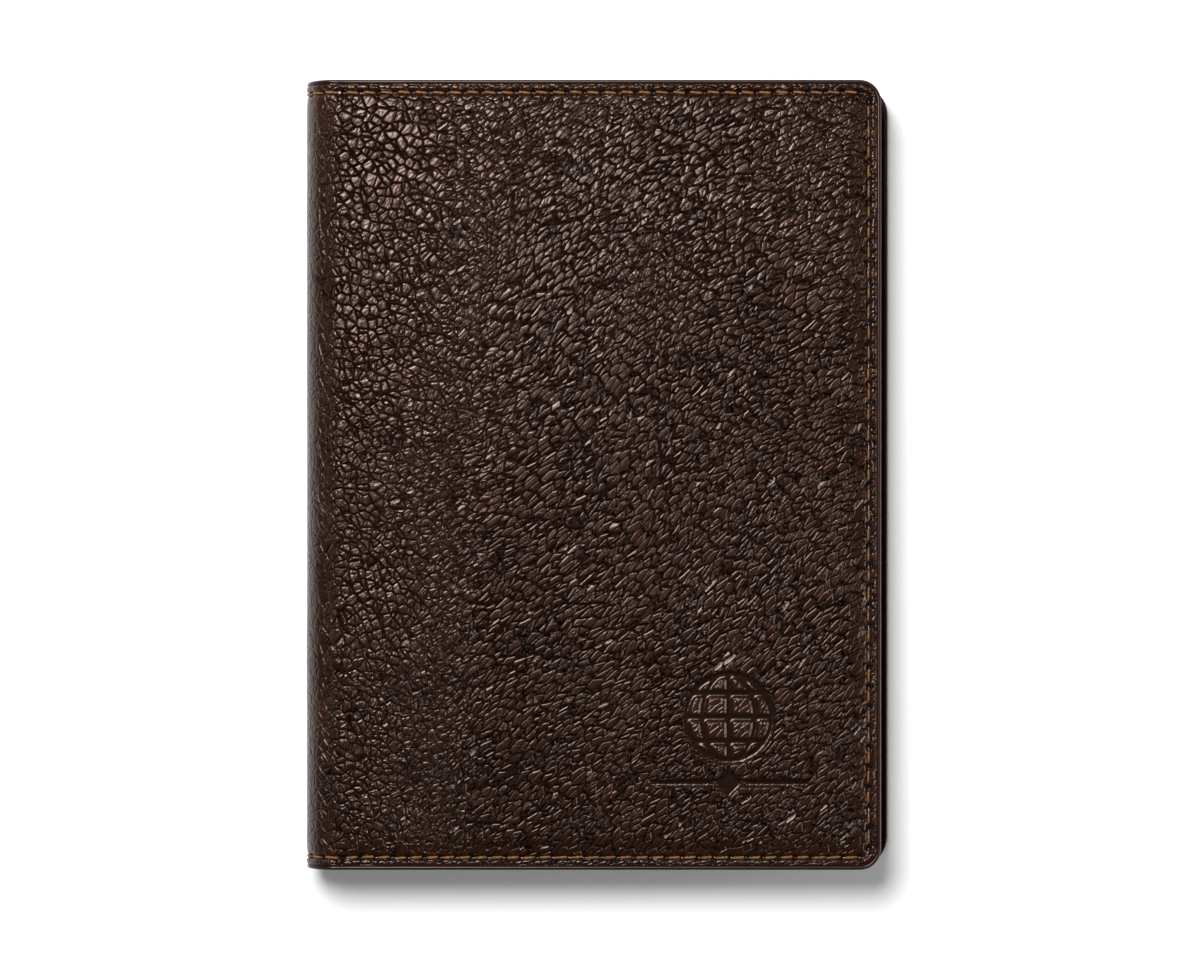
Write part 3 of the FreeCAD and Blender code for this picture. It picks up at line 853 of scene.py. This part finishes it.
def spine_leather(half):
    """Half of the leather round the spine, on the covers' own grid along it."""
    low, high = spine_span(half)
    across, along = lines((low, high, SPINE_FINE)), cover_lines("front")[1]
    u, v = np.meshgrid(across, along, indexing="ij")
    top = wrap(u, v, leather_height(u, v))
    under = wrap(u, v, 0 * u - LEATHER_THICK)
    piece = closed_sheet(f"spine_leather_{half}", top, under)
    flat_u, flat_v = np.tile(u.ravel(), 2), np.tile(v.ravel(), 2)
    depth = grain_depth(flat_u, flat_v)
    depth[u.size :] = 0
    carry_grain(piece, flat_u, flat_v, depth)
    lift_grain(piece)
    piece.data.materials.append(LEATHER)
    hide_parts("spine_leather")
    bend(piece, half)
    print(piece.name, len(piece.data.polygons), "faces")
    return piece


SPINE = {half: spine_leather(half) for half in HINGES}

# %% [markdown]
# ## The layers inside
# From the leather inwards: foam in its hollow, a stiff board, a thin woven lining, and the
# pockets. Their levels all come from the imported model. A place's level is its height above
# the plain slab, so the inside has levels below zero.


# %% Levels of the layers
LINING_THICK = 0.3 * MM


def level(node, inner=True):
    """A layer's face towards the inside of the holder, or the one away from it."""
    low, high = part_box(node)
    if node.startswith("back") or node == "passport_sleeve":
        return -(high.z if inner else low.z)
    return (low.z if inner else high.z) - THICK


LINING_LEVEL = level("back_lining")
SLEEVE_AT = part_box("passport_sleeve")[0].x - SPINE_X + ARC
SLIP_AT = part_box("slip_pocket")[0].x - SPINE_X + ARC
SLOTS = [f"card_slot_{number}" for number in (1, 2, 3)]
SLOT_TOPS = [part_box(slot)[1].y for slot in SLOTS]


def inner_level(u, v):
    """The level of the innermost layer at each place of the covers."""
    across = np.abs(u)
    sleeve = np.where(across > SLEEVE_AT, level("passport_sleeve"), LINING_LEVEL)
    stack = np.where(across > SLIP_AT, level("slip_pocket"), LINING_LEVEL)
    for slot, top in zip(SLOTS, SLOT_TOPS):
        stack = np.where((across > SLIP_AT) & (v < top), level(slot), stack)
    return np.where(u > 0, stack, sleeve)


print("lining level", LINING_LEVEL, "sleeve from", SLEEVE_AT, "slot tops", SLOT_TOPS)


# %% Sheets by level
def carry_place(piece, u, v):
    """Stores each point's place on the flat, in millimetres, for the finishes."""
    carry(piece, "place", np.stack([u, v, 0 * u], axis=-1) / MM)


def layer(name, u, v, outer, inner, nodes, material):
    """A closed layer between two levels, given as arrays."""
    piece = closed_sheet(name, wrap(u, v, outer + 0 * u), wrap(u, v, inner + 0 * u))
    carry_place(piece, np.tile(u.ravel(), 2), np.tile(v.ravel(), 2))
    piece.data.materials.append(material)
    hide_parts(*nodes)
    return piece


# %% [markdown]
# ## Finishes for the inside
# Pocket leather is thin and nearly smooth, with a fine printed grain. The lining is a plain
# weave. Board, foam, thread and edge paint each get their own simple finish.

# %% Pocket leather and lining
def pocket_leather():
    """Thin leather with a fine printed grain, painted shade in its lines, and a dull shine."""
    material, tree, shader = new_material(
        "pocket_leather", IOR=1.47, Specular_Tint=SHEEN, Specular_IOR_Level=0.35
    )
    place = shader_attribute(tree)("place", True)
    tone = smooth_range(tree, noise(tree, place, 0.12, 3.0), 0.35, 0.7)
    base = colour_mix(tree, tone, (0.0175, 0.0068, 0.0038, 1), (0.0240, 0.0088, 0.0046, 1))
    fine = smooth_range(tree, cell_edges(tree, place, 1.7), 0.0, 0.12)
    # painted shade: the grain's fine lines are darkened towards the crease shade colour
    line_shade = maths(tree, "MULTIPLY", maths(tree, "SUBTRACT", 1.0, fine), 0.6)
    base = colour_mix(tree, line_shade, base, CREASE_SHADE)
    tree.links.new(base, shader.inputs["Base Color"])
    rough = maths(tree, "ADD", maths(tree, "MULTIPLY", noise(tree, place, 2.5, 3.0), 0.2), 0.36)
    tree.links.new(rough, shader.inputs["Roughness"])
    normal = bump(tree, fine, 0.05 * MM)
    normal = bump(tree, noise(tree, place, 6.0, 3.0), 0.015 * MM, 1.0, normal)
    tree.links.new(normal, shader.inputs["Normal"])
    return material


def woven_lining():
    """A plain weave: two sets of bands crossing, the threads lighter and painted shade in the gaps between
    them.
    """
    material, tree, shader = new_material("woven_lining", IOR=1.45, Sheen_Weight=0.25, Roughness=0.85)
    place = shader_attribute(tree)("place", True)
    threads = []
    for direction in ("X", "Y"):
        wave = add_node(
            tree,
            "ShaderNodeTexWave",
            [("Vector", place), ("Scale", 0.95), ("Distortion", 0.35), ("Detail", 1.0)],
            bands_direction=direction,
        )
        threads.append(wave.outputs["Fac"])
    weave = maths(tree, "MAXIMUM", threads[0], threads[1])
    # painted shade: the gaps between the threads are darker, the threads lighter
    base = colour_mix(tree, weave, (0.016, 0.009, 0.006, 1), (0.042, 0.025, 0.017, 1))
    tree.links.new(base, shader.inputs["Base Color"])
    tree.links.new(bump(tree, weave, 0.05 * MM), shader.inputs["Normal"])
    return material


POCKET = pocket_leather()
LINING = woven_lining()
print(POCKET.name, "and", LINING.name)


# %% Foam, board, thread and paint
def simple_finish(name, dark, light, scale, rise, **sockets):
    """A finish with one noise in its colour and its surface."""
    material, tree, shader = new_material(name, **sockets)
    grain = noise(tree, shader_attribute(tree)("place", True), scale, 3.0)
    base = colour_mix(tree, smooth_range(tree, grain, 0.3, 0.7), dark, light)
    tree.links.new(base, shader.inputs["Base Color"])
    tree.links.new(bump(tree, grain, rise), shader.inputs["Normal"])
    return material


FOAM = simple_finish(
    "foam", (0.16, 0.15, 0.13, 1), (0.30, 0.28, 0.25, 1), 4.0, 0.1 * MM, Roughness=0.95
)
PAINT = simple_finish(
    "edge_paint",
    (0.0110, 0.0050, 0.0036, 1),
    (0.0170, 0.0075, 0.0050, 1),
    0.5,
    0.01 * MM,
    Roughness=0.30,
    Specular_IOR_Level=0.35,
    Specular_Tint=SHEEN,
)
THREAD = simple_finish(
    "thread",
    (0.125, 0.051, 0.013, 1),
    (0.240, 0.105, 0.029, 1),
    3.0,
    0.02 * MM,
    Roughness=0.60,
    Specular_IOR_Level=0.25,
    Sheen_Weight=0.08,
)


def board_finish():
    """The boards keep their CAD shape, so their finish works from their own coordinates."""
    material, tree, shader = new_material("board", Roughness=0.9)
    place = tree.nodes.new("ShaderNodeTexCoord").outputs["Object"]
    fibres = noise(tree, place, 900.0, 3.0)
    base = colour_mix(tree, fibres, (0.10, 0.075, 0.055, 1), (0.17, 0.13, 0.095, 1))
    tree.links.new(base, shader.inputs["Base Color"])
    return material


BOARD = board_finish()
for side in ("front", "back"):
    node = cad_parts[f"{side}_board"]
    node.data.materials.clear()
    node.data.materials.append(BOARD)
print([material.name for material in (FOAM, PAINT, THREAD, BOARD)])

# %% [markdown]
# ## Foam pads and linings
# The foam is a thin crowned pad that fills the hollow behind the leather. The lining is a
# thin sheet, very slightly uneven as glued cloth is, and it is cut in one piece per cover and
# one round the spine.


# %% Foam pads
def foam_pad(side):
    """A pad that fills the hollow, thinner towards its edges."""
    low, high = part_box(f"{side}_foam")
    x0, x1 = low.x - SPINE_X + ARC, high.x - SPINE_X + ARC
    y1 = high.y
    across = edged_lines(x0, x1, 6 * MM, 0.75 * MM)
    along = edged_lines(-y1, y1, 6 * MM, 0.75 * MM)
    a, b = np.meshgrid(across, along, indexing="ij")
    middle = (x0 + x1) / 2
    near, far = round_corner(np.abs(a - middle), np.abs(b), x1 - middle, y1, FOAM_CORNER)
    a, b = middle + np.copysign(near, a - middle), np.copysign(far, b)
    edge = np.minimum(x1 - middle - np.abs(a - middle), y1 - np.abs(b))
    outer = -RIM_UNDER + 0.20 * MM + 0.20 * MM * step(edge, -0.5 * MM, 5 * MM)
    inner = 0.01 * MM - RIM_UNDER
    nodes = [f"{side}_foam"]
    piece = layer(f"{side}_foam_pad", SIGN[side] * a, b, outer, inner, nodes, FOAM)
    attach(piece, f"{side}_cover")
    return piece


FOAMS = [foam_pad(side) for side in ("front", "back")]
print("foam:", [piece.name for piece in FOAMS])


# %% Linings
def cover_lining(side):
    """The lining of one cover, glued over its board."""
    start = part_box(f"{side}_lining")[0].x - SPINE_X + ARC
    reach = REACH[side] - BEAD
    high_v = HALF_HEIGHT - BEAD
    across = lines((start, reach - 5 * MM, 2 * MM), (reach - 5 * MM, reach, 0.5 * MM))
    u, v = cover_grid(side, across, edged_lines(-high_v, high_v, 5 * MM, 0.5 * MM))
    uneven = 0.04 * MM * (waves(u, v, 14 * MM, 31) + 1) * step(inset(u, v), 3 * MM, 8 * MM)
    piece = layer(
        f"{side}_cover_lining",
        u,
        v,
        LINING_LEVEL + LINING_THICK,
        LINING_LEVEL + uneven,
        [f"{side}_lining"],
        LINING,
    )
    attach(piece, f"{side}_cover")
    return piece


def spine_lining(half):
    """Half of the lining that runs round inside the spine."""
    low, high = spine_span(half)
    high_v = HALF_HEIGHT - BEAD
    across, along = lines((low, high, 0.6 * MM)), lines((-high_v, high_v, 1.2 * MM))
    u, v = np.meshgrid(across, along, indexing="ij")
    uneven = 0.03 * MM * (waves(u, v, 9 * MM, 33) - 1)
    piece = layer(
        f"spine_lining_{half}",
        u,
        v,
        -LEATHER_THICK,
        -LEATHER_THICK - LINING_THICK - uneven,
        ["spine_lining"],
        LINING,
    )
    bend(piece, half)
    return piece


LININGS = [cover_lining(side) for side in ("front", "back")]
LININGS += [spine_lining(half) for half in HINGES]
print("linings:", [piece.name for piece in LININGS])

# %% [markdown]
# ## Pockets
# The back cover's sleeve is open towards the spine, with a thumb notch in its mouth, and it
# stands off the lining so that a passport's cover slides in. The front cover has a slip
# pocket and three card slots, each with its mouth a step below the last. A creased line runs
# along every mouth, as pressed on a real pocket.


# %% Passport sleeve
THUMB_RADIUS = 11 * MM
THUMB_DEPTH = 6 * MM
SLEEVE_THICK = 0.8 * MM


def notch(v):
    """How far the thumb notch cuts in from the sleeve's mouth at each place."""
    centre = THUMB_RADIUS - THUMB_DEPTH
    return np.maximum(np.sqrt(np.maximum(THUMB_RADIUS**2 - v**2, 0)) - centre, 0)


def mouth_crease(distance):
    """A pressed line beside a mouth and a softly rounded cut edge."""
    pressed = 0.10 * MM * ridge(distance, 1.7 * MM, 0.22 * MM)
    return pressed + 0.12 * MM * (1 - step(distance, 0, 0.4 * MM))


def passport_sleeve():
    """The sleeve on the back cover, standing a little off its lining."""
    reach, high_v = REACH["back"] - BEAD, HALF_HEIGHT - BEAD
    across = lines(
        (SLEEVE_AT, SLEEVE_AT + 3 * MM, 0.15 * MM),
        (SLEEVE_AT + 3 * MM, reach - 5 * MM, 1.5 * MM),
        (reach - 5 * MM, reach, 0.4 * MM),
    )
    along = lines(
        (-high_v, 5 * MM - high_v, 0.4 * MM),
        (5 * MM - high_v, -11 * MM, 1.5 * MM),
        (-11 * MM, 11 * MM, 0.4 * MM),
        (11 * MM, high_v - 5 * MM, 1.5 * MM),
        (high_v - 5 * MM, high_v, 0.4 * MM),
    )
    a, b = np.meshgrid(across, along, indexing="ij")
    share = np.clip((reach - a) / (reach - SLEEVE_AT), 0, 1)
    ease = np.where(a < SLEEVE_AT + 3 * MM, 1.0, share * share)
    bent = a + notch(b) * ease
    a, high = round_corner(bent, np.abs(b), reach, high_v, CORNER["back"] - BEAD)
    u, v = -a, np.copysign(high, b)
    free = step(inset(u, v), 3.2 * MM, 6.5 * MM)
    bottom = level("passport_sleeve") + 0.02 * MM
    stand = (1 - free) * 0.45 * MM + 0.05 * MM * (waves(u, v, 22 * MM, 41) + 1)
    inner = bottom + stand + mouth_crease(bent - SLEEVE_AT - notch(b))
    outer = np.minimum(bottom + stand + SLEEVE_THICK, LINING_LEVEL - 0.01 * MM)
    nodes = ["passport_sleeve"]
    piece = layer("sleeve_leather", u, v, outer, inner, nodes, POCKET)
    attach(piece, "back_cover")
    return piece


SLEEVE = passport_sleeve()
print(SLEEVE.name, len(SLEEVE.data.polygons), "faces")


# %% Slip pocket and card slots
TAIL = BEAD - HALF_HEIGHT
MOUTH_FINE = 0.15 * MM
PLAIN_FINE = 0.5 * MM


def front_pocket(name, node, end_v, thick, mouth_up, stand_off):
    """A pocket on the front cover, with its mouth at the top or towards the spine."""
    reach, start_v = REACH["front"] - BEAD, TAIL
    side_fine, top_fine = (PLAIN_FINE, MOUTH_FINE) if mouth_up else (MOUTH_FINE, PLAIN_FINE)
    across = lines(
        (SLIP_AT, SLIP_AT + 3 * MM, side_fine),
        (SLIP_AT + 3 * MM, reach - 5 * MM, 2.0 * MM),
        (reach - 5 * MM, reach, PLAIN_FINE),
    )
    along = lines(
        (start_v, start_v + 5 * MM, PLAIN_FINE),
        (start_v + 5 * MM, end_v - 3 * MM, 2.0 * MM),
        (end_v - 3 * MM, end_v, top_fine),
    )
    u, v = cover_grid("front", across, along)
    free = step(inset(u, v), 3.2 * MM, 6.5 * MM)
    bottom = level(node) + 0.02 * MM + (1 - free) * stand_off
    mouth = end_v - v if mouth_up else u - SLIP_AT
    inner = bottom + mouth_crease(mouth) * 0.8
    inner = inner + 0.03 * MM * (waves(u, v, 20 * MM, 43) + 1)
    outer = np.minimum(bottom + thick, level(node, inner=False) - 0.01 * MM)
    piece = layer(name, u, v, outer, inner, [node], POCKET)
    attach(piece, "front_cover")
    return piece


SLIP = front_pocket(
    "slip_pocket_leather", "slip_pocket", -TAIL, 0.6 * MM, False, 0.25 * MM
)
for slot, top in zip(SLOTS, SLOT_TOPS):
    front_pocket(f"{slot}_leather", slot, top, 0.41 * MM, True, 0.0)

# %% [markdown]
# ## Thread
# Each stitch is a short length of two-ply thread that comes up out of one needle hole, lies
# over the leather with a slight arch and goes down the next. Its ends are sunk in the holes,
# so nothing floats. Rows that cross the spine are split at its middle, like the leather.


# %% Stitches between holes
THREAD_RADIUS = 0.21 * MM
RINGS = 13
ROUND = 12


def stitch_ends(rows, gap=0.3 * MM):
    """The start and end of every stitch in these rows, a little short of the next hole."""
    ends = []
    for holes in rows:
        for start, end in zip(holes[:-1], holes[1:]):
            along = (end - start) / np.linalg.norm(end - start)
            ends.append((start + along * gap, end - along * gap))
    return np.array(ends)


def stitch_mesh(ends, seat, face, seed, slant=0.16 * MM, radius=THREAD_RADIUS):
    """Twisted thread for each pair of ends. seat gives the leather's level under a place,
    and face is 1 for the outside of the holder and -1 for the inside."""
    random = np.random.default_rng(seed)
    share = np.linspace(0, 1, RINGS)
    start, end = ends[:, 0, None, :], ends[:, 1, None, :]
    flat = start + (end - start) * share[None, :, None]
    along = (end - start) / np.linalg.norm(end - start, axis=-1, keepdims=True)
    side = np.stack([-along[..., 1], along[..., 0]], axis=-1)
    sway = slant * (0.5 - share[None, :]) + 0.03 * MM * random.standard_normal((len(ends), 1))
    flat = flat + side * sway[..., None]
    u, v = flat[..., 0], flat[..., 1]
    arch = np.sin(share * math.pi)[None, :]
    middle = np.repeat(seat(ends.mean(axis=1))[:, None], RINGS, axis=1)
    rise = 0.08 * MM + 0.16 * MM * arch**0.7 - 0.60 * MM * (1 - arch) ** 6
    rise = rise + 0.02 * MM * random.standard_normal((len(ends), 1))
    lift = middle + face * rise
    centre = wrap(u, v, lift)
    up = wrap(u, v, lift + face) - centre
    run = np.gradient(centre, axis=1)
    run /= np.linalg.norm(run, axis=-1, keepdims=True)
    across = np.cross(run, up)
    across /= np.linalg.norm(across, axis=-1, keepdims=True)
    up = np.cross(across, run)
    angle = math.tau * np.arange(ROUND) / ROUND
    turns = 2.2 * math.tau * share[None, :, None] + random.random((len(ends), 1, 1)) * math.tau
    taper = (0.72 + 0.28 * arch**0.5)[..., None]
    size = radius * taper * (1 + 0.13 * np.cos(2 * angle[None, None, :] + turns))
    points = (
        centre[:, :, None, :]
        + across[:, :, None, :] * (size * np.cos(angle))[..., None]
        + up[:, :, None, :] * (size * 0.92 * np.sin(angle))[..., None]
    )
    return points, u, v


# %% Thread pieces
def stitch_piece(name, parts, node):
    """One mesh object from the points of many stitches, with closed ends."""
    points = np.concatenate([part[0] for part in parts])
    u = np.concatenate([part[1] for part in parts])
    v = np.concatenate([part[2] for part in parts])
    ring, around = np.meshgrid(np.arange(RINGS - 1), np.arange(ROUND), indexing="ij")
    a = ring * ROUND + around
    b = ring * ROUND + (around + 1) % ROUND
    tube = np.stack([a, b, b + ROUND, a + ROUND], axis=-1).reshape(-1, 4)
    caps = [list(range(ROUND))[::-1], list(range((RINGS - 1) * ROUND, RINGS * ROUND))]
    faces, size = [], RINGS * ROUND
    for number in range(len(points)):
        faces += (tube + number * size).tolist()
        faces += [[index + number * size for index in cap] for cap in caps]
    flat_points = points.reshape(-1, 3)
    # every stitch is built alike, so the first one tells whether they all face inwards
    if volume(flat_points[:size], [face for face in faces if max(face) < size]) < 0:
        faces = [face[::-1] for face in faces]
    mesh = bpy.data.meshes.new(name)
    mesh.from_pydata(flat_points.tolist(), [], faces)
    mesh.shade_smooth()
    piece = bpy.data.objects.new(name, mesh)
    bpy.context.scene.collection.objects.link(piece)
    carry_place(piece, np.repeat(u.ravel(), ROUND), np.repeat(v.ravel(), ROUND))
    mesh.materials.append(THREAD)
    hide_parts(node)
    return piece


# %% Seats and rows
def outer_seat(places):
    """The leather's level at the middle of a stitch, away from its needle holes."""
    u, v = places[:, 0], places[:, 1]
    return leather_height(u, v) + HOLE_DEEP * hole_depth(u, v)


def inner_seat(places):
    """The level that the second thread lies on, inside the holder."""
    u, v = places[:, 0], places[:, 1]
    spine = np.abs(u) < ARC
    return np.where(spine, -LEATHER_THICK - LINING_THICK, inner_level(u, v))


# for each row: how short its stitches fall of the holes, how they lean, and the thread's radius;
# the head row leans one way and the tail row the other, as one needle made them in turn
OUTER_ROWS = (
    (0.50 * MM, 0.22 * MM, THREAD_RADIUS),
    (0.80 * MM, 0.0, 0.17 * MM),
    (0.46 * MM, -0.14 * MM, THREAD_RADIUS),
)
SPINE_GAP = 0.42 * MM
FIRST_SEED = {"front": 51, "back": 61}


# %% Thread in every row
STITCHES = []
for side in ("front", "back"):
    seed = FIRST_SEED[side]
    outer = []
    for number, (holes, (gap, lean, radius)) in enumerate(zip(ROWS[side], OUTER_ROWS)):
        ends = stitch_ends([holes], gap)
        outer.append(stitch_mesh(ends, outer_seat, 1, seed + number, lean * SIGN[side], radius))
    inner = [stitch_mesh(stitch_ends([holes]), inner_seat, -1, seed + 3) for holes in ROWS[side]]
    for face, parts in (("outer", outer), ("inner", inner)):
        piece = stitch_piece(f"{side}_{face}_thread", parts, f"{side}_{face}_stitching")
        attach(piece, f"{side}_cover")
        STITCHES.append(piece)

for half in HINGES:
    outer = stitch_mesh(stitch_ends(ROWS[half], SPINE_GAP), outer_seat, 1, 71)
    inner = stitch_mesh(stitch_ends(ROWS[half]), inner_seat, -1, 73)
    for face, part in (("outer", outer), ("inner", inner)):
        piece = stitch_piece(f"spine_{face}_thread_{half}", [part], f"spine_{face}_stitching")
        bend(piece, half)
        STITCHES.append(piece)

slot_low, slot_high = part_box("card_slot_stitching")
slot_u = (slot_low.x + slot_high.x) / 2 - SPINE_X + ARC
slot_row = row((slot_u, slot_low.y), (slot_u, slot_high.y), PITCH["spine"])
slot_thread = stitch_mesh(stitch_ends([slot_row]), inner_seat, -1, 81)
STITCHES.append(stitch_piece("card_slot_thread", [slot_thread], "card_slot_stitching"))
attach(STITCHES[-1], "front_cover")
print("thread:", [(piece.name, len(piece.data.polygons)) for piece in STITCHES])

# %% [markdown]
# ## Painted edges
# The cut layers are burnished and painted, which leaves one smooth rounded bead round three
# sides of each cover and over the spine's two ends. The bead is swept along the edge, and it
# grows thicker where more pockets end in it.


# %% Where the beads run
BEAD_STEP = 1.2 * MM
HAIR = 0.05 * MM


def outline(side):
    """Places along a cover's free edge from head to tail, with the direction outwards."""
    reach, radius, high = REACH[side], CORNER[side], HALF_HEIGHT
    edge_stops = [high - radius, radius - high]
    across_stops = [ARC, reach - radius]
    mouth = SLEEVE_AT if side == "back" else SLIP_AT
    across_stops += [mouth - HAIR, mouth + HAIR]
    if side == "front":
        for top in SLOT_TOPS:
            edge_stops += [top - HAIR, top + HAIR]
    across_all = lines((ARC, reach - radius, BEAD_STEP))
    across_all = np.unique(np.concatenate([across_all, across_stops]))
    along_all = lines((radius - high, high - radius, BEAD_STEP))
    along_all = np.unique(np.concatenate([along_all, edge_stops]))[::-1]
    places = [(a, high, 0.0, 1.0) for a in across_all[:-1]]
    for turn in np.linspace(0, math.pi / 2, 10)[:-1]:
        out = (math.sin(turn), math.cos(turn))
        places.append((reach - radius + radius * out[0], high - radius + radius * out[1], *out))
    places += [(reach, b, 1.0, 0.0) for b in along_all[:-1]]
    for turn in np.linspace(0, math.pi / 2, 10)[:-1]:
        out = (math.cos(turn), -math.sin(turn))
        places.append((reach - radius + radius * out[0], radius - high + radius * out[1], *out))
    places += [(a, -high, 0.0, -1.0) for a in across_all[::-1]]
    return np.array(places)


def bead_level(u):
    """The level of a bead's crest: it follows the sewn rim, which rises towards the spine."""
    return -rim_drop(u) + 0.03 * MM


# %% Sweeping a bead
def bead_piece(name, places, sign, bottom, node):
    """Sweeps the bead's round profile along places, which hold a place and the way outwards."""
    u, v = sign * places[:, 0], places[:, 1]
    out_u, out_v = sign * places[:, 2], places[:, 3]
    crest = bead_level(u) + 0.015 * MM * (waves(u, v, 6 * MM, 91) - 1)
    radius = BEAD / 2
    profile = [(BEAD + 0.02 * MM, 0, -0.34 * MM), (BEAD - 0.07 * MM, 0, -0.20 * MM)]
    for angle in np.radians([-40, -20, 0, 20, 40, 58, 74, 90]):
        profile.append((radius - radius * math.sin(angle), 0, radius * (math.cos(angle) - 1)))
    for angle in np.radians([90, 65, 40, 15]):
        profile.append((radius - radius * math.sin(angle), 1, 0.35 * MM * (1 - math.cos(angle))))
    profile.append((BEAD, 1, 0.0))
    rings = []
    for distance, inside, offset in profile:
        lift = (bottom if inside else crest) + offset
        rings.append(wrap(u - out_u * distance, v - out_v * distance, lift))
    points = np.stack(rings, axis=1)
    count, around = points.shape[:2]
    ring, corner = np.meshgrid(np.arange(count - 1), np.arange(around), indexing="ij")
    a = ring * around + corner
    b = ring * around + (corner + 1) % around
    faces = np.stack([a, b, b + around, a + around], axis=-1).reshape(-1, 4).tolist()
    faces += [list(range(around))[::-1], list(range((count - 1) * around, count * around))]
    smooth = [True] * (len(faces) - 2) + [False] * 2
    piece = mesh_piece(name, points.reshape(-1, 3), faces, smooth)
    carry_place(piece, np.repeat(u, around), np.repeat(v, around))
    piece.data.materials.append(PAINT)
    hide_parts(node)
    return piece


# %% Beads on every edge
BEADS = []
for side, sign in SIGN.items():
    places = outline(side)
    just_in = places[:, :2] - places[:, 2:] * 2 * BEAD
    bottom = inner_level(sign * just_in[:, 0], just_in[:, 1])
    BEADS.append(bead_piece(f"{side}_edge_bead", places, sign, bottom, f"{side}_edge_paint"))
    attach(BEADS[-1], f"{side}_cover")

for half in HINGES:
    low, high = spine_span(half)
    for end, sign in (("head", 1), ("tail", -1)):
        stops = lines((low, high, 0.5 * MM))
        places = np.array([(u, sign * HALF_HEIGHT, 0.0, float(sign)) for u in stops])
        bottom = np.full(len(stops), -LEATHER_THICK - LINING_THICK)
        name = f"spine_{end}_bead_{half}"
        BEADS.append(bead_piece(name, places, 1, bottom, "spine_edge_paint"))
        bend(BEADS[-1], half)
print("beads:", [(piece.name, len(piece.data.polygons)) for piece in BEADS])
shown = [node for node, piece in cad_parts.items() if not piece.hide_render]
print("CAD nodes still shown:", shown)

# %% [markdown]
# ## Floor, light and camera
# A white floor that runs well past the frame, one large soft light from the upper left,
# dim overhead and brighter round the sides, and a camera straight above.

# %% Floor
def white_floor(far=3.0):
    """A matt white floor, lit a little from within so that its shadows stay open."""
    mesh = bpy.data.meshes.new("floor")
    corners = [(-far, -far, 0), (far, -far, 0), (far, far, 0), (-far, far, 0)]
    mesh.from_pydata(corners, [], [(0, 1, 2, 3)])
    floor = bpy.data.objects.new("floor", mesh)
    floor.location.z = -0.02 * MM
    bpy.context.scene.collection.objects.link(floor)
    material, _, _ = new_material(
        "white_floor",
        Base_Color=(0.85, 0.85, 0.85, 1),
        Roughness=0.95,
        Emission_Color=(1, 1, 1, 1),
        Emission_Strength=0.12,
    )
    mesh.materials.append(material)
    print("floor", 2 * far, "m wide")


white_floor()


# %% Lights
def soft_light(name, place, size, power):
    """A round soft light at a place, turned towards the holder."""
    lamp = bpy.data.lights.new(name, "AREA")
    lamp.shape = "DISK"
    lamp.size = size
    lamp.energy = power
    light = bpy.data.objects.new(name, lamp)
    light.location = place
    light.rotation_euler = (-Vector(place)).to_track_quat("-Z", "Y").to_euler()
    bpy.context.scene.collection.objects.link(light)
    print(name, "light of", power, "W")


soft_light("key", (-0.155, 0.240, 0.56), 0.34, 6.0)
soft_light("card", (0.50, -0.10, 0.14), 0.30, 1.3)


def studio_world():
    """Dim straight above, brighter round the sides, as in a tent with its lid off."""
    world = bpy.data.worlds.new("studio")
    world.use_nodes = True
    tree = world.node_tree
    place = tree.nodes.new("ShaderNodeTexCoord")
    split = add_node(tree, "ShaderNodeSeparateXYZ", [(0, place.outputs["Generated"])])
    glow = smooth_range(tree, split.outputs["Z"], 0.05, 0.60, 0.30, 0.02)
    tree.links.new(glow, tree.nodes["Background"].inputs["Strength"])
    tree.nodes["Background"].inputs["Color"].default_value = (1, 1, 1, 1)
    bpy.context.scene.world = world


studio_world()


# %% Camera
SENSOR = 36
FRAME_WIDE = 0.2163
CAMERA_AT = (0.0004, -0.011, 0.70)
SHIFT = 0.0475


def place_camera():
    """A camera straight above, with its lens shifted so that its axis stays upright."""
    data = bpy.data.cameras.new("camera")
    data.sensor_width = SENSOR
    data.lens = SENSOR * CAMERA_AT[2] / FRAME_WIDE
    data.shift_y = SHIFT
    camera = bpy.data.objects.new("camera", data)
    camera.location = CAMERA_AT
    bpy.context.scene.collection.objects.link(camera)
    bpy.context.scene.camera = camera
    print(f"camera {CAMERA_AT[2]} m up, lens {data.lens:.1f} mm")


place_camera()
bpy.context.scene.view_settings.view_transform = "Standard"
